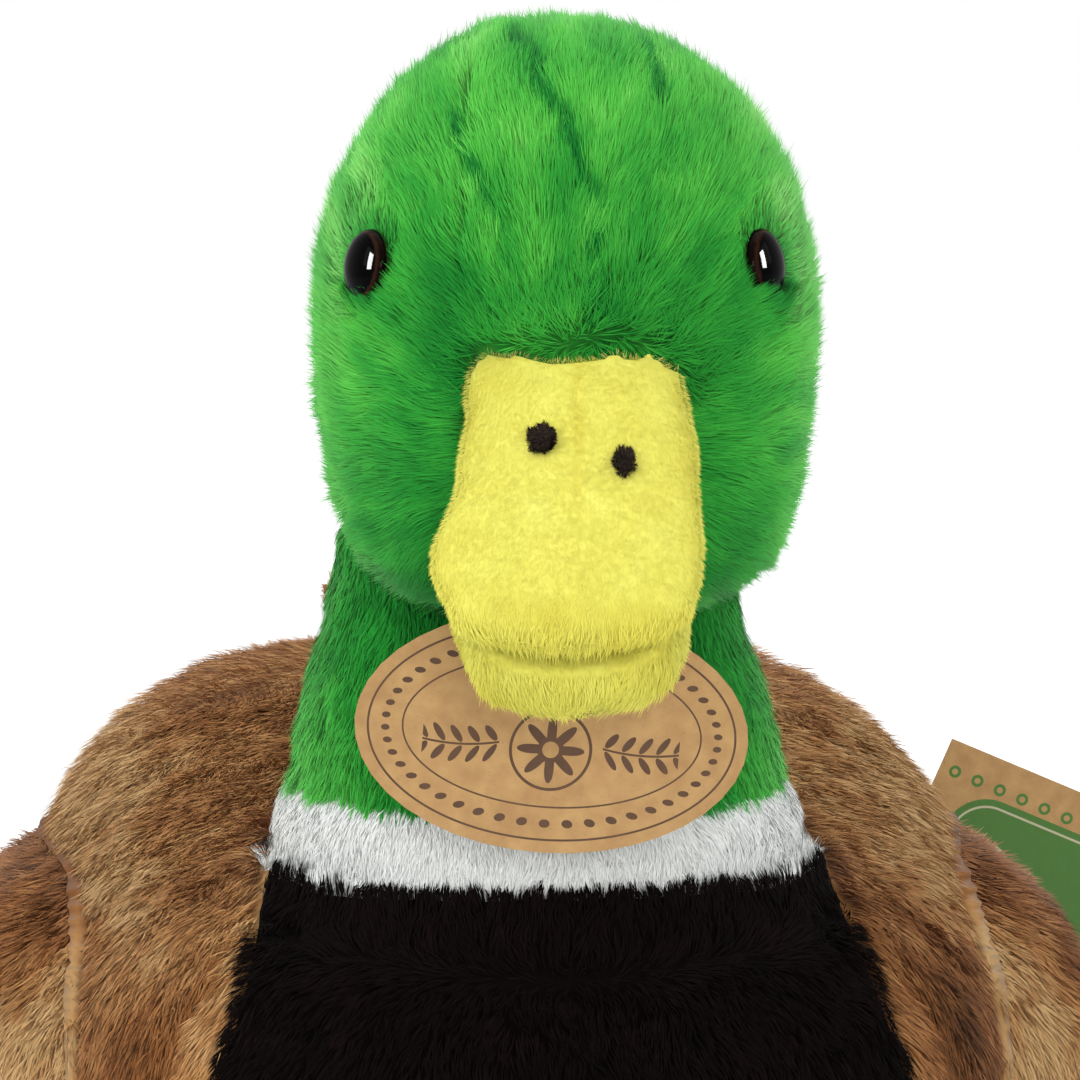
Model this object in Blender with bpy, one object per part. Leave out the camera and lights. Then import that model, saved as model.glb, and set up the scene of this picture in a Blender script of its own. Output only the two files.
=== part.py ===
"""A stuffed plush duck, sitting, with a mallard's green head, white collar and folded wings.

Metres, +Z up. The duck faces -Y and its left side is +X. The origin is on the
floor, in the middle of the flat base that the duck sits on.
"""
import math

import bmesh
import bpy
from mathutils import Matrix, Vector

# Fabric, seams and clearances
FABRIC = 0.0030
SEAM_GAP = 0.0003
CUT_OVERRUN = 0.0100
FLAT_DEPTH = 0.0005

# Torso: reaches ahead of and behind the origin, width and height
TORSO_FRONT = 0.107
TORSO_REAR = 0.120
TORSO_WIDTH = 0.160
TORSO_HEIGHT = 0.118
TORSO_SIDES = 24
BODY_ROUNDNESS = 2.8

# Seams of the torso's cover
BELLY_SEAM_HEIGHT = 0.0212
CHEST_TOP_WIDTH = 0.084
CHEST_BOTTOM_WIDTH = 0.138
CHEST_SETBACK = 0.0017
FLANK_SEAM_DROP = 0.038
FLANK_SEAM_SLOPE = math.radians(16)

# Bean bag that weighs the base
BEAN_BAG_WIDTH = 0.090
BEAN_BAG_LENGTH = 0.110
BEAN_BAG_HEIGHT = 0.026
BEAN_BAG_LIFT = 0.0085
BEAN_BAG_BACK = 0.012

# Neck and collar, turned on an upright axis behind the torso's front
NECK_SETBACK = 0.055
NECK_SEAM_DROP = 0.017
NECK_LENGTH = 0.045
NECK_ROOT_SPREAD = 0.0085
NECK_ROOT_DEPTH = 0.041
COLLAR_HEIGHT = 0.0115
COLLAR_RADIUS = 0.0412
COLLAR_EDGE_STEP = 0.0032
WELL_CLEARANCE = 0.0007
WELL_SIDES = 28
NECK_BASE_STEP = 0.0044
NECK_TAPER = 0.0068
NECK_MIDDLE_STEP = 0.0033
NECK_SIDES = 24

# Head
HEAD_HEIGHT = 0.0905
HEAD_LAP = 0.008
HEAD_WIDTH = 0.0734
HEAD_DEPTH = 0.0840
HEAD_FORWARD = 0.010
HEAD_SHIFT = 0.0025
HEAD_TURN = math.radians(-4)
HEAD_SIDES = 20
HEAD_ROUNDNESS = 2.2
GUSSET_WIDTH = 0.027
SOCKET_CLEARANCE = 0.0008

# Safety eyes
EYE_DIAMETER = 0.0110
EYE_RISE = 0.0034
EYE_SINK = 0.0010
EYE_DROP = 0.0350
EYE_BEARING = math.radians(36)
EYE_SIDES = 14
SHANK_DIAMETER = 0.0030
WASHER_DIAMETER = 0.0120
WASHER_THICKNESS = 0.0015
WASHER_DEPTH = 0.0027
SHANK_TAIL = 0.0015

# Bill
BILL_PITCH = math.radians(37)
BILL_ROLL = math.radians(4)
BILL_SKEW = math.radians(-2)
BILL_LENGTH = 0.0590
BILL_ROOT_FORWARD = 0.0395
BILL_ROOT_RISE = 0.0440
BILL_SHIFT = 0.0015
BILL_WIDTH = 0.0390
UPPER_BILL_THICKNESS = 0.0180
LOWER_BILL_THICKNESS = 0.0128
LOWER_BILL_WIDTH = 0.0330
LOWER_BILL_SETBACK = 0.0015
BILL_SIDES = 20
BILL_ROUNDNESS = 2.5

# Stitched nostrils
NOSTRIL_LENGTH = 0.0050
NOSTRIL_WIDTH = 0.0042
NOSTRIL_RISE = 0.0006
NOSTRIL_POCKET_DEPTH = 0.0008
NOSTRIL_SPACING = 0.0116
NOSTRIL_SHIFT = 0.0015
NOSTRIL_REACH = 0.0279
NOSTRIL_REACH_STEP = 0.0022
NOSTRIL_CLEARANCE = 0.0002

# Wings: flat stuffed flaps that lie along the torso's sides
WING_FRONT_INSET = 0.050
WING_REAR_INSET = 0.018
WING_TOP_DROP = 0.029
WING_BOTTOM = 0.026
WING_THICKNESS = 0.0090
WING_EDGE_THICKNESS = 0.0042
WING_GAP = 0.0009
LINING_THICKNESS = 0.0020
WING_LENGTH_STEPS = 15
WING_HEIGHT_STEPS = 8
WING_LENGTH_POWER = 0.4
WING_HEIGHT_POWER = 0.5
WING_HINGE_PLACE_SHARE = 0.52
WING_HINGE_RISE = 0.006
WING_HINGE_INSET = 0.004

# Webbed feet
FOOT_LENGTH = 0.064
FOOT_WIDTH = 0.050
FOOT_SPACING = 0.072
FOOT_THICKNESS = 0.0130
FOOT_SOLE_THICKNESS = 0.0035
FOOT_HEEL_TUCK = 0.043
FOOT_STEPS = 8
FOOT_SIDES = 12

# Tail
TAIL_LENGTH = 0.036
TAIL_ROOT_WIDTH = 0.036
TAIL_MIDDLE_WIDTH = 0.046
TAIL_TIP_WIDTH = 0.022
TAIL_ROOT_THICKNESS = 0.0150
TAIL_TIP_THICKNESS = 0.0070
TAIL_RISE = math.radians(32)
TAIL_GAP = 0.0005
TAIL_STEPS = 7
TAIL_BROAD_SHARE = 0.40
TAIL_SIDES = 14

# Card tags on nylon loops
CARD_THICKNESS = 0.0006
CARD_HOLE_DIAMETER = 0.0031
CARD_SIDES = 40
STRAND_DIAMETER = 0.0008
STRAND_STEPS = 3
LOOP_ROOM = 0.0016
LOOP_PASS = 0.0011
LOOP_LOW_DROP = 0.014
LOOP_HIGH_DROP = 0.010
LOOP_ANGLES = [math.radians(angle) for angle in (-62, -35, -8, 20, 48, 74)]
SIDE_LOOP_PLACE_SHARE = 0.80
SIDE_LOOP_SPREAD_SHARE = 0.03
SIDE_LOOP_HEIGHT_SHARE = 0.72
FRONT_TAG_WIDTH = 0.0570
FRONT_TAG_HEIGHT = 0.0354
FRONT_TAG_ROLL = math.radians(5)
FRONT_TAG_HOLE_INSET = 0.0048
FRONT_TAG_FORWARD = 0.0515
FRONT_TAG_SHIFT = -0.0024
FRONT_TAG_RISE = 0.0002
SIDE_TAG_LENGTH = 0.0550
SIDE_TAG_WIDTH = 0.0340
SIDE_TAG_HOLE_INSET = 0.0050
SIDE_TAG_OUT = 0.0065
SIDE_TAG_CORNER_RISE = 0.0022
SIDE_TAG_AHEAD = 0.0150
SIDE_TAG_ROLL = math.radians(23.6)

# Care label, a bare ribbon caught in the seam at the rear
CARE_LABEL_HEIGHT = 0.018
CARE_LABEL_LENGTH = 0.026
CARE_LABEL_THICKNESS = 0.0005
CARE_LABEL_DROP = 0.0066

# Rings of the torso from front to rear: place along the length, half width,
# top height and bottom height, each a share of the torso's own size
TORSO_RING_SHARES = [
    (0.016, 0.300, 0.690, 0.270),
    (0.050, 0.500, 0.785, 0.140),
    (0.100, 0.680, 0.830, 0.060),
    (0.165, 0.820, 0.850, 0.015),
    (0.240, 0.910, 0.868, 0.000),
    (0.341, 0.975, 0.885, 0.000),
    (0.455, 1.000, 0.925, 0.000),
    (0.568, 1.000, 0.978, 0.000),
    (0.682, 0.950, 1.000, 0.000),
    (0.795, 0.845, 0.960, 0.018),
    (0.880, 0.690, 0.880, 0.075),
    (0.945, 0.490, 0.770, 0.175),
    (0.984, 0.280, 0.655, 0.300),
]
TORSO_FRONT_POLE_SHARE = 0.48
TORSO_REAR_POLE_SHARE = 0.48

# Rings of the head from neck to crown: place along the height and half width
HEAD_RING_SHARES = [
    (0.020, 0.420),
    (0.060, 0.680),
    (0.120, 0.840),
    (0.220, 0.925),
    (0.350, 0.980),
    (0.500, 1.000),
    (0.620, 0.975),
    (0.720, 0.912),
    (0.810, 0.800),
    (0.885, 0.665),
    (0.945, 0.490),
    (0.983, 0.285),
]

# Rings of the bill from root to tip: place along the length, half width and
# half thickness
UPPER_BILL_SHARES = [
    (0.000, 0.740, 1.000),
    (0.180, 0.780, 1.000),
    (0.380, 0.900, 0.920),
    (0.550, 0.940, 0.820),
    (0.680, 1.000, 0.760),
    (0.820, 0.965, 0.700),
    (0.920, 0.860, 0.600),
    (0.975, 0.640, 0.400),
]
LOWER_BILL_SHARES = [
    (0.000, 0.700, 1.000),
    (0.250, 0.800, 1.000),
    (0.500, 0.900, 0.950),
    (0.720, 1.000, 0.900),
    (0.860, 0.960, 0.800),
    (0.940, 0.800, 0.620),
    (0.982, 0.540, 0.380),
]

# Outline of a wing from its front edge to its tip: place along the length,
# and top and bottom as places between the wing's lowest and highest edge
WING_OUTLINE_SHARES = [
    (0.000, 0.520, 0.380),
    (0.060, 0.760, 0.180),
    (0.150, 0.900, 0.060),
    (0.300, 0.990, 0.000),
    (0.500, 1.000, 0.020),
    (0.700, 0.960, 0.110),
    (0.860, 0.840, 0.250),
    (0.950, 0.720, 0.380),
    (1.000, 0.610, 0.470),
]

# Outline of a foot from heel to toes: place along the length and half width
FOOT_OUTLINE_SHARES = [
    (0.000, 0.400),
    (0.200, 0.520),
    (0.450, 0.740),
    (0.700, 0.930),
    (0.850, 1.000),
    (0.940, 0.920),
    (1.000, 0.640),
]
FOOT_HEIGHT_SHARES = [(0.0, 0.58), (0.35, 0.80), (0.70, 1.00), (0.90, 0.78), (1.0, 0.44)]

TORSO_LENGTH = TORSO_FRONT + TORSO_REAR
FLANK_SEAM_HEIGHT = TORSO_HEIGHT - FLANK_SEAM_DROP
NECK_FORWARD = TORSO_FRONT - NECK_SETBACK
NECK_AXIS = Vector((0.0, -NECK_FORWARD, 0.0))
NECK_SEAM_HEIGHT = TORSO_HEIGHT - NECK_SEAM_DROP
NECK_ROOT_RADIUS = COLLAR_RADIUS + SEAM_GAP
COLLAR_BOTTOM = NECK_SEAM_HEIGHT + SEAM_GAP
COLLAR_TOP = COLLAR_BOTTOM + COLLAR_HEIGHT
COLLAR_EDGE_RADIUS = COLLAR_RADIUS - COLLAR_EDGE_STEP
NECK_BOTTOM = COLLAR_TOP + SEAM_GAP
NECK_TOP_HEIGHT = NECK_SEAM_HEIGHT + NECK_LENGTH
NECK_COVER_TOP = NECK_TOP_HEIGHT - SEAM_GAP
NECK_BASE_RADIUS = COLLAR_RADIUS - NECK_BASE_STEP
NECK_MIDDLE_RADIUS = NECK_BASE_RADIUS - NECK_MIDDLE_STEP
NECK_TOP_RADIUS = NECK_BASE_RADIUS - NECK_TAPER
HEAD_BOTTOM = NECK_TOP_HEIGHT - HEAD_LAP
HEAD_TOP = HEAD_BOTTOM + HEAD_HEIGHT
WING_FRONT = TORSO_FRONT - WING_FRONT_INSET
WING_REAR = TORSO_REAR - WING_REAR_INSET
WING_TOP = TORSO_HEIGHT - WING_TOP_DROP
FOOT_HEEL_FORWARD = TORSO_FRONT - FOOT_HEEL_TUCK
SHANK_RADIUS = SHANK_DIAMETER / 2
STRAND_RADIUS = STRAND_DIAMETER / 2


def clear_scene():
    """Start from an empty scene."""
    for leftover in list(bpy.data.objects):
        bpy.data.objects.remove(leftover, do_unlink=True)


def make_material(name, colour, roughness):
    """One Principled material for one piece."""
    material = bpy.data.materials.new(name)
    material.use_nodes = True
    shader = material.node_tree.nodes["Principled BSDF"]
    shader.inputs["Base Color"].default_value = (*colour, 1.0)
    shader.inputs["Roughness"].default_value = roughness
    shader.inputs["Metallic"].default_value = 0.0
    material.diffuse_color = (*colour, 1.0)
    return material


def make_pivot(name, location, turn=0.0):
    """An empty on a joint's axis, which carries the pieces that move on it."""
    pivot = bpy.data.objects.new(name, None)
    pivot.location = location
    pivot.rotation_euler = (0.0, 0.0, turn)
    bpy.context.collection.objects.link(pivot)
    return pivot


def make_object(name, bm, pivot=None):
    """Turn a finished bmesh into an object of flat faces, under its pivot if it moves."""
    bmesh.ops.triangulate(bm, faces=bm.faces)
    bmesh.ops.recalc_face_normals(bm, faces=bm.faces)
    if bm.calc_volume(signed=True) < 0:
        bmesh.ops.reverse_faces(bm, faces=bm.faces)
    if pivot is not None:
        bmesh.ops.translate(bm, vec=-pivot.location, verts=bm.verts)
    mesh = bpy.data.meshes.new(name)
    bm.to_mesh(mesh)
    bm.free()
    made = bpy.data.objects.new(name, mesh)
    bpy.context.collection.objects.link(made)
    made.parent = pivot
    return made


def hide(form):
    """Keep a form out of the part, because it only shapes other pieces."""
    form.hide_render = True
    form.display_type = "WIRE"
    return form


def make_cutter(name, bm, pivot=None):
    """A solid that only shapes other pieces."""
    return hide(make_object(name, bm, pivot))


def combine(piece, operation, *tools):
    """Shape a piece with other solids, one Boolean after the other."""
    for tool in tools:
        modifier = piece.modifiers.new(f"{operation}_{tool.name}", "BOOLEAN")
        modifier.operation = operation
        modifier.solver = "EXACT"
        modifier.object = tool
    bpy.context.view_layer.update()
    graph = bpy.context.evaluated_depsgraph_get()
    shaped = bpy.data.meshes.new_from_object(piece.evaluated_get(graph))
    piece.modifiers.clear()
    piece.data = shaped
    return piece


def copy_of(source, name, pivot=None):
    """A piece that starts as a copy of a form."""
    made = bpy.data.objects.new(name, source.data.copy())
    bpy.context.collection.objects.link(made)
    made.parent = pivot
    return made


def finish(piece, colour, roughness, sharp_angle=math.radians(50)):
    """Give a piece its own material and smooth shading."""
    piece.data.materials.clear()
    piece.data.materials.append(make_material(piece.name, colour, roughness))
    piece.data.shade_smooth()
    piece.data.set_sharp_from_angle(angle=sharp_angle)
    return piece


def interpolate(table, place):
    """Read the values of a table of shares at a place between its rows, smoothly."""
    if place <= table[0][0]:
        return table[0][1:]
    if place >= table[-1][0]:
        return table[-1][1:]
    index = max(i for i, row in enumerate(table) if row[0] <= place)
    index = min(index, len(table) - 2)
    before, start = table[max(index - 1, 0)], table[index]
    end, after = table[index + 1], table[min(index + 2, len(table) - 1)]
    step = (place - start[0]) / (end[0] - start[0])
    values = []
    for column in range(1, len(start)):
        rise_start = slope(before, end, column) * (end[0] - start[0])
        rise_end = slope(start, after, column) * (end[0] - start[0])
        values.append(hermite(start[column], end[column], rise_start, rise_end, step))
    return values


def slope(first, last, column):
    """Mean slope of one column between two rows."""
    return (last[column] - first[column]) / (last[0] - first[0])


def hermite(start, end, rise_start, rise_end, step):
    """Cubic between two values with given slopes."""
    square, cube = step ** 2, step ** 3
    return (start * (2 * cube - 3 * square + 1) + rise_start * (cube - 2 * square + step)
            + end * (3 * square - 2 * cube) + rise_end * (cube - square))


def superellipse(angle, half_width, half_height, roundness):
    """A point on a rounded oval."""
    cosine, sine = math.cos(angle), math.sin(angle)
    across = math.copysign(abs(cosine) ** (2 / roundness), cosine) * half_width
    up = math.copysign(abs(sine) ** (2 / roundness), sine) * half_height
    return across, up


def loft(rings, first_pole, last_pole):
    """Skin a row of closed rings and close each end on its pole."""
    bm = bmesh.new()
    loops = []
    for ring in rings:
        points = [bm.verts.new(point) for point in ring]
        loops.append([bm.edges.new((points[i - 1], points[i])) for i in range(len(points))])
    for lower, upper in zip(loops, loops[1:]):
        bmesh.ops.bridge_loops(bm, edges=lower + upper)
    for loop, pole in ((loops[0], first_pole), (loops[-1], last_pole)):
        cap = bmesh.ops.contextual_create(bm, geom=loop)["faces"]
        if pole is not None:
            tip = bmesh.ops.poke(bm, faces=cap)["verts"][0]
            tip.co = pole
    return bm


def box(low, high):
    """A box between two corners."""
    bm = bmesh.new()
    middle = (low + high) / 2
    span = high - low
    scale = Matrix.Diagonal((*span, 1.0))
    bmesh.ops.create_cube(bm, size=1, matrix=Matrix.Translation(middle) @ scale)
    return bm


def prism(outline, thickness_vector):
    """Push a flat outline along a vector."""
    bm = bmesh.new()
    face = bm.faces.new([bm.verts.new(point) for point in outline])
    pushed = bmesh.ops.extrude_face_region(bm, geom=[face])["geom"]
    moved = [item for item in pushed if isinstance(item, bmesh.types.BMVert)]
    bmesh.ops.translate(bm, vec=thickness_vector, verts=moved)
    return bm


def turned(profile, centre, sides):
    """Spin a profile of (radius, height) points about an upright axis."""
    bm = bmesh.new()
    points = [bm.verts.new(centre + Vector((radius, 0.0, height))) for radius, height in profile]
    edges = [bm.edges.new(pair) for pair in zip(points, points[1:])]
    bmesh.ops.spin(bm, geom=points + edges, cent=centre, axis=(0, 0, 1), angle=math.tau,
                   steps=sides, use_merge=True)
    bmesh.ops.remove_doubles(bm, verts=bm.verts, dist=SEAM_GAP / 10)
    return bm


def rod(radius, low, high, frame, sides):
    """A round bar along a frame's Z axis, between two heights."""
    bm = bmesh.new()
    middle = Matrix.Translation((0.0, 0.0, (low + high) / 2))
    bmesh.ops.create_cone(bm, cap_ends=True, segments=sides, radius1=radius, radius2=radius,
                          depth=high - low, matrix=frame @ middle)
    return bm


def torso_section(along, inset):
    """Half width, top and bottom of the torso at a share of its length."""
    width, top, bottom = interpolate(TORSO_RING_SHARES, along)
    half_width = width * TORSO_WIDTH / 2 - inset
    top_height = top * TORSO_HEIGHT - inset
    bottom_height = bottom * TORSO_HEIGHT - FLAT_DEPTH + inset
    return half_width, top_height, bottom_height


def torso_point(along, angle, inset=0.0):
    """A point on the torso: angle zero is its left side and a quarter turn its top."""
    half_width, top, bottom = torso_section(along, inset)
    across, up = superellipse(angle, half_width, (top - bottom) / 2, BODY_ROUNDNESS)
    return Vector((across, along * TORSO_LENGTH - TORSO_FRONT, (top + bottom) / 2 + up))


def torso_solid(inset):
    """The stuffed torso, as long as its poles reach."""
    rings = []
    for row in TORSO_RING_SHARES:
        rings.append([torso_point(row[0], math.tau * i / TORSO_SIDES, inset)
                      for i in range(TORSO_SIDES)])
    front = Vector((0.0, inset - TORSO_FRONT, TORSO_FRONT_POLE_SHARE * TORSO_HEIGHT))
    rear = Vector((0.0, TORSO_REAR - inset, TORSO_REAR_POLE_SHARE * TORSO_HEIGHT))
    return loft(rings, front, rear)


def neck_root_solid(inset):
    """The stump that the torso's cover makes for the neck."""
    spread = NECK_ROOT_RADIUS + NECK_ROOT_SPREAD - inset
    low = NECK_SEAM_HEIGHT - NECK_ROOT_DEPTH
    profile = [
        (0.0, NECK_SEAM_HEIGHT + CUT_OVERRUN),
        (NECK_ROOT_RADIUS - inset, NECK_SEAM_HEIGHT + CUT_OVERRUN),
        (NECK_ROOT_RADIUS - inset, NECK_SEAM_HEIGHT - FABRIC),
        (NECK_ROOT_RADIUS + NECK_ROOT_SPREAD / 4 - inset, NECK_SEAM_HEIGHT - NECK_ROOT_DEPTH / 5),
        (NECK_ROOT_RADIUS + NECK_ROOT_SPREAD * 3 / 5 - inset, NECK_SEAM_HEIGHT - NECK_ROOT_DEPTH / 2),
        (spread, low),
        (0.0, low),
    ]
    return turned(profile, NECK_AXIS, NECK_SIDES)


def torso_form(name, inset):
    """Torso and neck stump in one solid, cut flat at the floor and under the collar."""
    form = make_cutter(name, torso_solid(inset))
    stump = make_cutter(f"{name}_stump", neck_root_solid(inset))
    reach = TORSO_LENGTH
    under = Vector((-reach, -reach, -reach))
    floor = make_cutter(f"{name}_floor", box(under, Vector((reach, reach, inset))))
    well = rod(COLLAR_RADIUS + WELL_CLEARANCE + inset, NECK_SEAM_HEIGHT - inset,
               TORSO_HEIGHT + CUT_OVERRUN, Matrix.Translation(NECK_AXIS), WELL_SIDES)
    combine(form, "UNION", stump)
    return combine(form, "DIFFERENCE", floor, make_cutter(f"{name}_well", well))


def belly_region(grow):
    """All below the belly's seam."""
    reach = TORSO_LENGTH
    low = Vector((-reach, -reach, -reach))
    return box(low, Vector((reach, reach, BELLY_SEAM_HEIGHT + grow)))


def chest_region(grow):
    """The bib ahead of the neck, which widens downwards."""
    top, low = NECK_SEAM_HEIGHT + CUT_OVERRUN, BELLY_SEAM_HEIGHT - CUT_OVERRUN
    widen = (CHEST_BOTTOM_WIDTH - CHEST_TOP_WIDTH) / 2 / (NECK_SEAM_HEIGHT - BELLY_SEAM_HEIGHT)
    half_top = CHEST_TOP_WIDTH / 2 - widen * CUT_OVERRUN + grow
    half_low = CHEST_BOTTOM_WIDTH / 2 + widen * CUT_OVERRUN + grow
    back = -NECK_FORWARD - CHEST_SETBACK + grow
    outline = [(-half_top, back, top), (half_top, back, top),
               (half_low, back, low), (-half_low, back, low)]
    return prism([Vector(point) for point in outline], Vector((0.0, -TORSO_LENGTH, 0.0)))


def back_region(grow):
    """All above the flank's seam, which falls towards the tail."""
    reach = TORSO_LENGTH
    rise = reach * math.tan(FLANK_SEAM_SLOPE)
    seam = FLANK_SEAM_HEIGHT - grow
    outline = [(-reach, -reach, seam + rise), (-reach, reach, seam - rise),
               (-reach, reach, reach + seam), (-reach, -reach, reach + seam + rise)]
    return prism([Vector(point) for point in outline], Vector((reach * 2, 0.0, 0.0)))


def build_torso():
    """The cover's panels, the stuffing and the bean bag."""
    outer = torso_form("torso_outer", 0.0)
    inner = torso_form("torso_inner", FABRIC)
    half_step = Matrix.Rotation(math.pi / NECK_SIDES, 4, "Z")
    neck_hole = rod(NECK_BASE_RADIUS - FABRIC, NECK_SEAM_HEIGHT - FABRIC - CUT_OVERRUN,
                    NECK_SEAM_HEIGHT + CUT_OVERRUN,
                    Matrix.Translation(NECK_AXIS) @ half_step, NECK_SIDES)
    hole = make_cutter("neck_hole", neck_hole)
    shell = hide(combine(copy_of(outer, "torso_shell"), "DIFFERENCE", inner, hole))

    belly = make_cutter("belly_region", belly_region(0.0))
    chest = make_cutter("chest_region", chest_region(0.0))
    back = make_cutter("back_region", back_region(0.0))
    belly_wide = make_cutter("belly_region_wide", belly_region(SEAM_GAP))
    chest_wide = make_cutter("chest_region_wide", chest_region(SEAM_GAP))
    back_wide = make_cutter("back_region_wide", back_region(SEAM_GAP))

    piece = combine(copy_of(shell, "belly_panel"), "INTERSECT", belly)
    finish(piece, (0.226, 0.097, 0.036), 0.95)
    piece = combine(copy_of(shell, "chest_panel"), "INTERSECT", chest)
    finish(combine(piece, "DIFFERENCE", belly_wide), (0.004, 0.003, 0.003), 0.95)
    piece = combine(copy_of(shell, "back_panel"), "INTERSECT", back)
    finish(combine(piece, "DIFFERENCE", chest_wide), (0.203, 0.092, 0.036), 0.95)
    flanks = hide(combine(copy_of(shell, "flanks"), "DIFFERENCE",
                          belly_wide, chest_wide, back_wide))
    reach = TORSO_LENGTH
    for name, side in (("flank_left", 1), ("flank_right", -1)):
        corners = sorted((side * SEAM_GAP / 2, side * reach))
        half = make_cutter(f"{name}_half", box(Vector((corners[0], -reach, -reach)),
                                               Vector((corners[1], reach, reach))))
        piece = combine(copy_of(flanks, name), "INTERSECT", half)
        finish(piece, (0.240, 0.139, 0.061), 0.95)

    stuffing = copy_of(torso_form("torso_core", FABRIC + SEAM_GAP), "torso_stuffing")
    build_bean_bag(stuffing)
    finish(stuffing, (0.85, 0.85, 0.83), 1.0)


def build_bean_bag(stuffing):
    """A bag of pellets low in the stuffing, with the pocket it lies in."""
    middle = Vector((0.0, BEAN_BAG_BACK, BEAN_BAG_LIFT + BEAN_BAG_HEIGHT / 2))
    for name, grow in (("bean_bag", 0.0), ("bean_bag_pocket", SEAM_GAP)):
        bm = bmesh.new()
        size = Vector((BEAN_BAG_WIDTH, BEAN_BAG_LENGTH, BEAN_BAG_HEIGHT)) / 2
        scale = Matrix.Diagonal((size.x + grow, size.y + grow, size.z + grow, 1.0))
        bmesh.ops.create_uvsphere(bm, u_segments=18, v_segments=10, radius=1,
                                  matrix=Matrix.Translation(middle) @ scale)
        if grow:
            pocket = make_cutter(name, bm)
        else:
            finish(make_object(name, bm), (0.70, 0.66, 0.58), 0.9)
    mouth = rod(BEAN_BAG_WIDTH / 6, -CUT_OVERRUN, middle.z,
                Matrix.Translation((0.0, BEAN_BAG_BACK, 0.0)), EYE_SIDES)
    combine(stuffing, "DIFFERENCE", pocket, make_cutter("bean_bag_mouth", mouth))


def neck_outline():
    """Height and radius of the neck's cover at its rings, from the collar up."""
    tall = NECK_COVER_TOP - NECK_BOTTOM
    return [
        (NECK_BOTTOM, NECK_BASE_RADIUS),
        (NECK_BOTTOM + tall / 6, NECK_BASE_RADIUS),
        (NECK_BOTTOM + tall / 2, NECK_MIDDLE_RADIUS),
        (NECK_COVER_TOP - tall / 4, NECK_TOP_RADIUS),
        (NECK_COVER_TOP, NECK_TOP_RADIUS),
    ]


def neck_radius(height):
    """Radius of the neck's cover at a height."""
    rings = neck_outline()
    for (low, start), (high, end) in zip(rings, rings[1:]):
        if low <= height <= high:
            return start + (end - start) * (height - low) / (high - low)
    return NECK_TOP_RADIUS


def build_neck():
    """White collar, green neck tube and the stuffing they close round."""
    bore = NECK_TOP_RADIUS - FABRIC
    collar = turned([
        (NECK_BASE_RADIUS - FABRIC, COLLAR_TOP),
        (COLLAR_EDGE_RADIUS, COLLAR_TOP),
        (COLLAR_RADIUS, COLLAR_TOP - COLLAR_HEIGHT / 3),
        (COLLAR_RADIUS, COLLAR_TOP - COLLAR_HEIGHT * 2 / 3),
        (COLLAR_EDGE_RADIUS, COLLAR_BOTTOM),
        (NECK_BASE_RADIUS - FABRIC, COLLAR_BOTTOM),
        (NECK_BASE_RADIUS - FABRIC, COLLAR_TOP),
    ], NECK_AXIS, NECK_SIDES)
    finish(make_object("collar", collar), (0.59, 0.61, 0.57), 0.95)

    outside = [(radius, height) for height, radius in neck_outline()]
    cover = turned([(bore, NECK_BOTTOM)] + outside + [(bore, NECK_COVER_TOP), (bore, NECK_BOTTOM)],
                   NECK_AXIS, NECK_SIDES)
    finish(make_object("neck_cover", cover), (0.004, 0.144, 0.015), 0.95)

    core = bore - SEAM_GAP
    wide = NECK_BASE_RADIUS - FABRIC - SEAM_GAP
    low = NECK_SEAM_HEIGHT - FABRIC
    stuffing = turned([
        (0.0, NECK_COVER_TOP),
        (core, NECK_COVER_TOP),
        (core, NECK_BOTTOM - SEAM_GAP),
        (wide, NECK_BOTTOM - SEAM_GAP),
        (wide, low),
        (0.0, low),
    ], NECK_AXIS, NECK_SIDES)
    finish(make_object("neck_stuffing", stuffing), (0.85, 0.85, 0.83), 1.0)


def head_centre(place):
    """Middle of the head at a share of its height."""
    return Vector((HEAD_SHIFT, -NECK_FORWARD - HEAD_FORWARD, HEAD_BOTTOM + place * HEAD_HEIGHT))


def head_point(place, angle, inset=0.0):
    """A point on the head: angle zero is its left side and a quarter turn its back."""
    (share,) = interpolate(HEAD_RING_SHARES, place)
    across, back = superellipse(angle, share * HEAD_WIDTH / 2 - inset,
                                share * HEAD_DEPTH / 2 - inset, HEAD_ROUNDNESS)
    return head_centre(place) + Vector((across, back, 0.0))


def head_solid(inset):
    """The stuffed head, from under the chin to the crown."""
    squeeze = (HEAD_HEIGHT - inset * 2) / HEAD_HEIGHT
    rings = []
    for row in HEAD_RING_SHARES:
        ring = [head_point(row[0], math.tau * i / HEAD_SIDES, inset) for i in range(HEAD_SIDES)]
        middle = head_centre(1 / 2).z
        rings.append([Vector((p.x, p.y, middle + (p.z - middle) * squeeze)) for p in ring])
    bottom, top = head_centre(0.0), head_centre(1.0)
    rise = Vector((0.0, 0.0, inset))
    return loft(rings, bottom + rise, top - rise)


def eye_frame(side):
    """A frame on the head's surface at an eye, with Z pointing out of the head."""
    place = (HEAD_HEIGHT - EYE_DROP) / HEAD_HEIGHT
    angle = -EYE_BEARING if side > 0 else EYE_BEARING - math.pi
    step_place, step_angle = HEAD_RING_SHARES[0][0] / 4, EYE_BEARING / 20
    here = head_point(place, angle)
    upward = head_point(place + step_place, angle) - here
    onward = head_point(place, angle + step_angle) - here
    out = onward.cross(upward).normalized()
    return Matrix.Translation(here) @ out.to_track_quat("Z", "Y").to_matrix().to_4x4()


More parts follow.
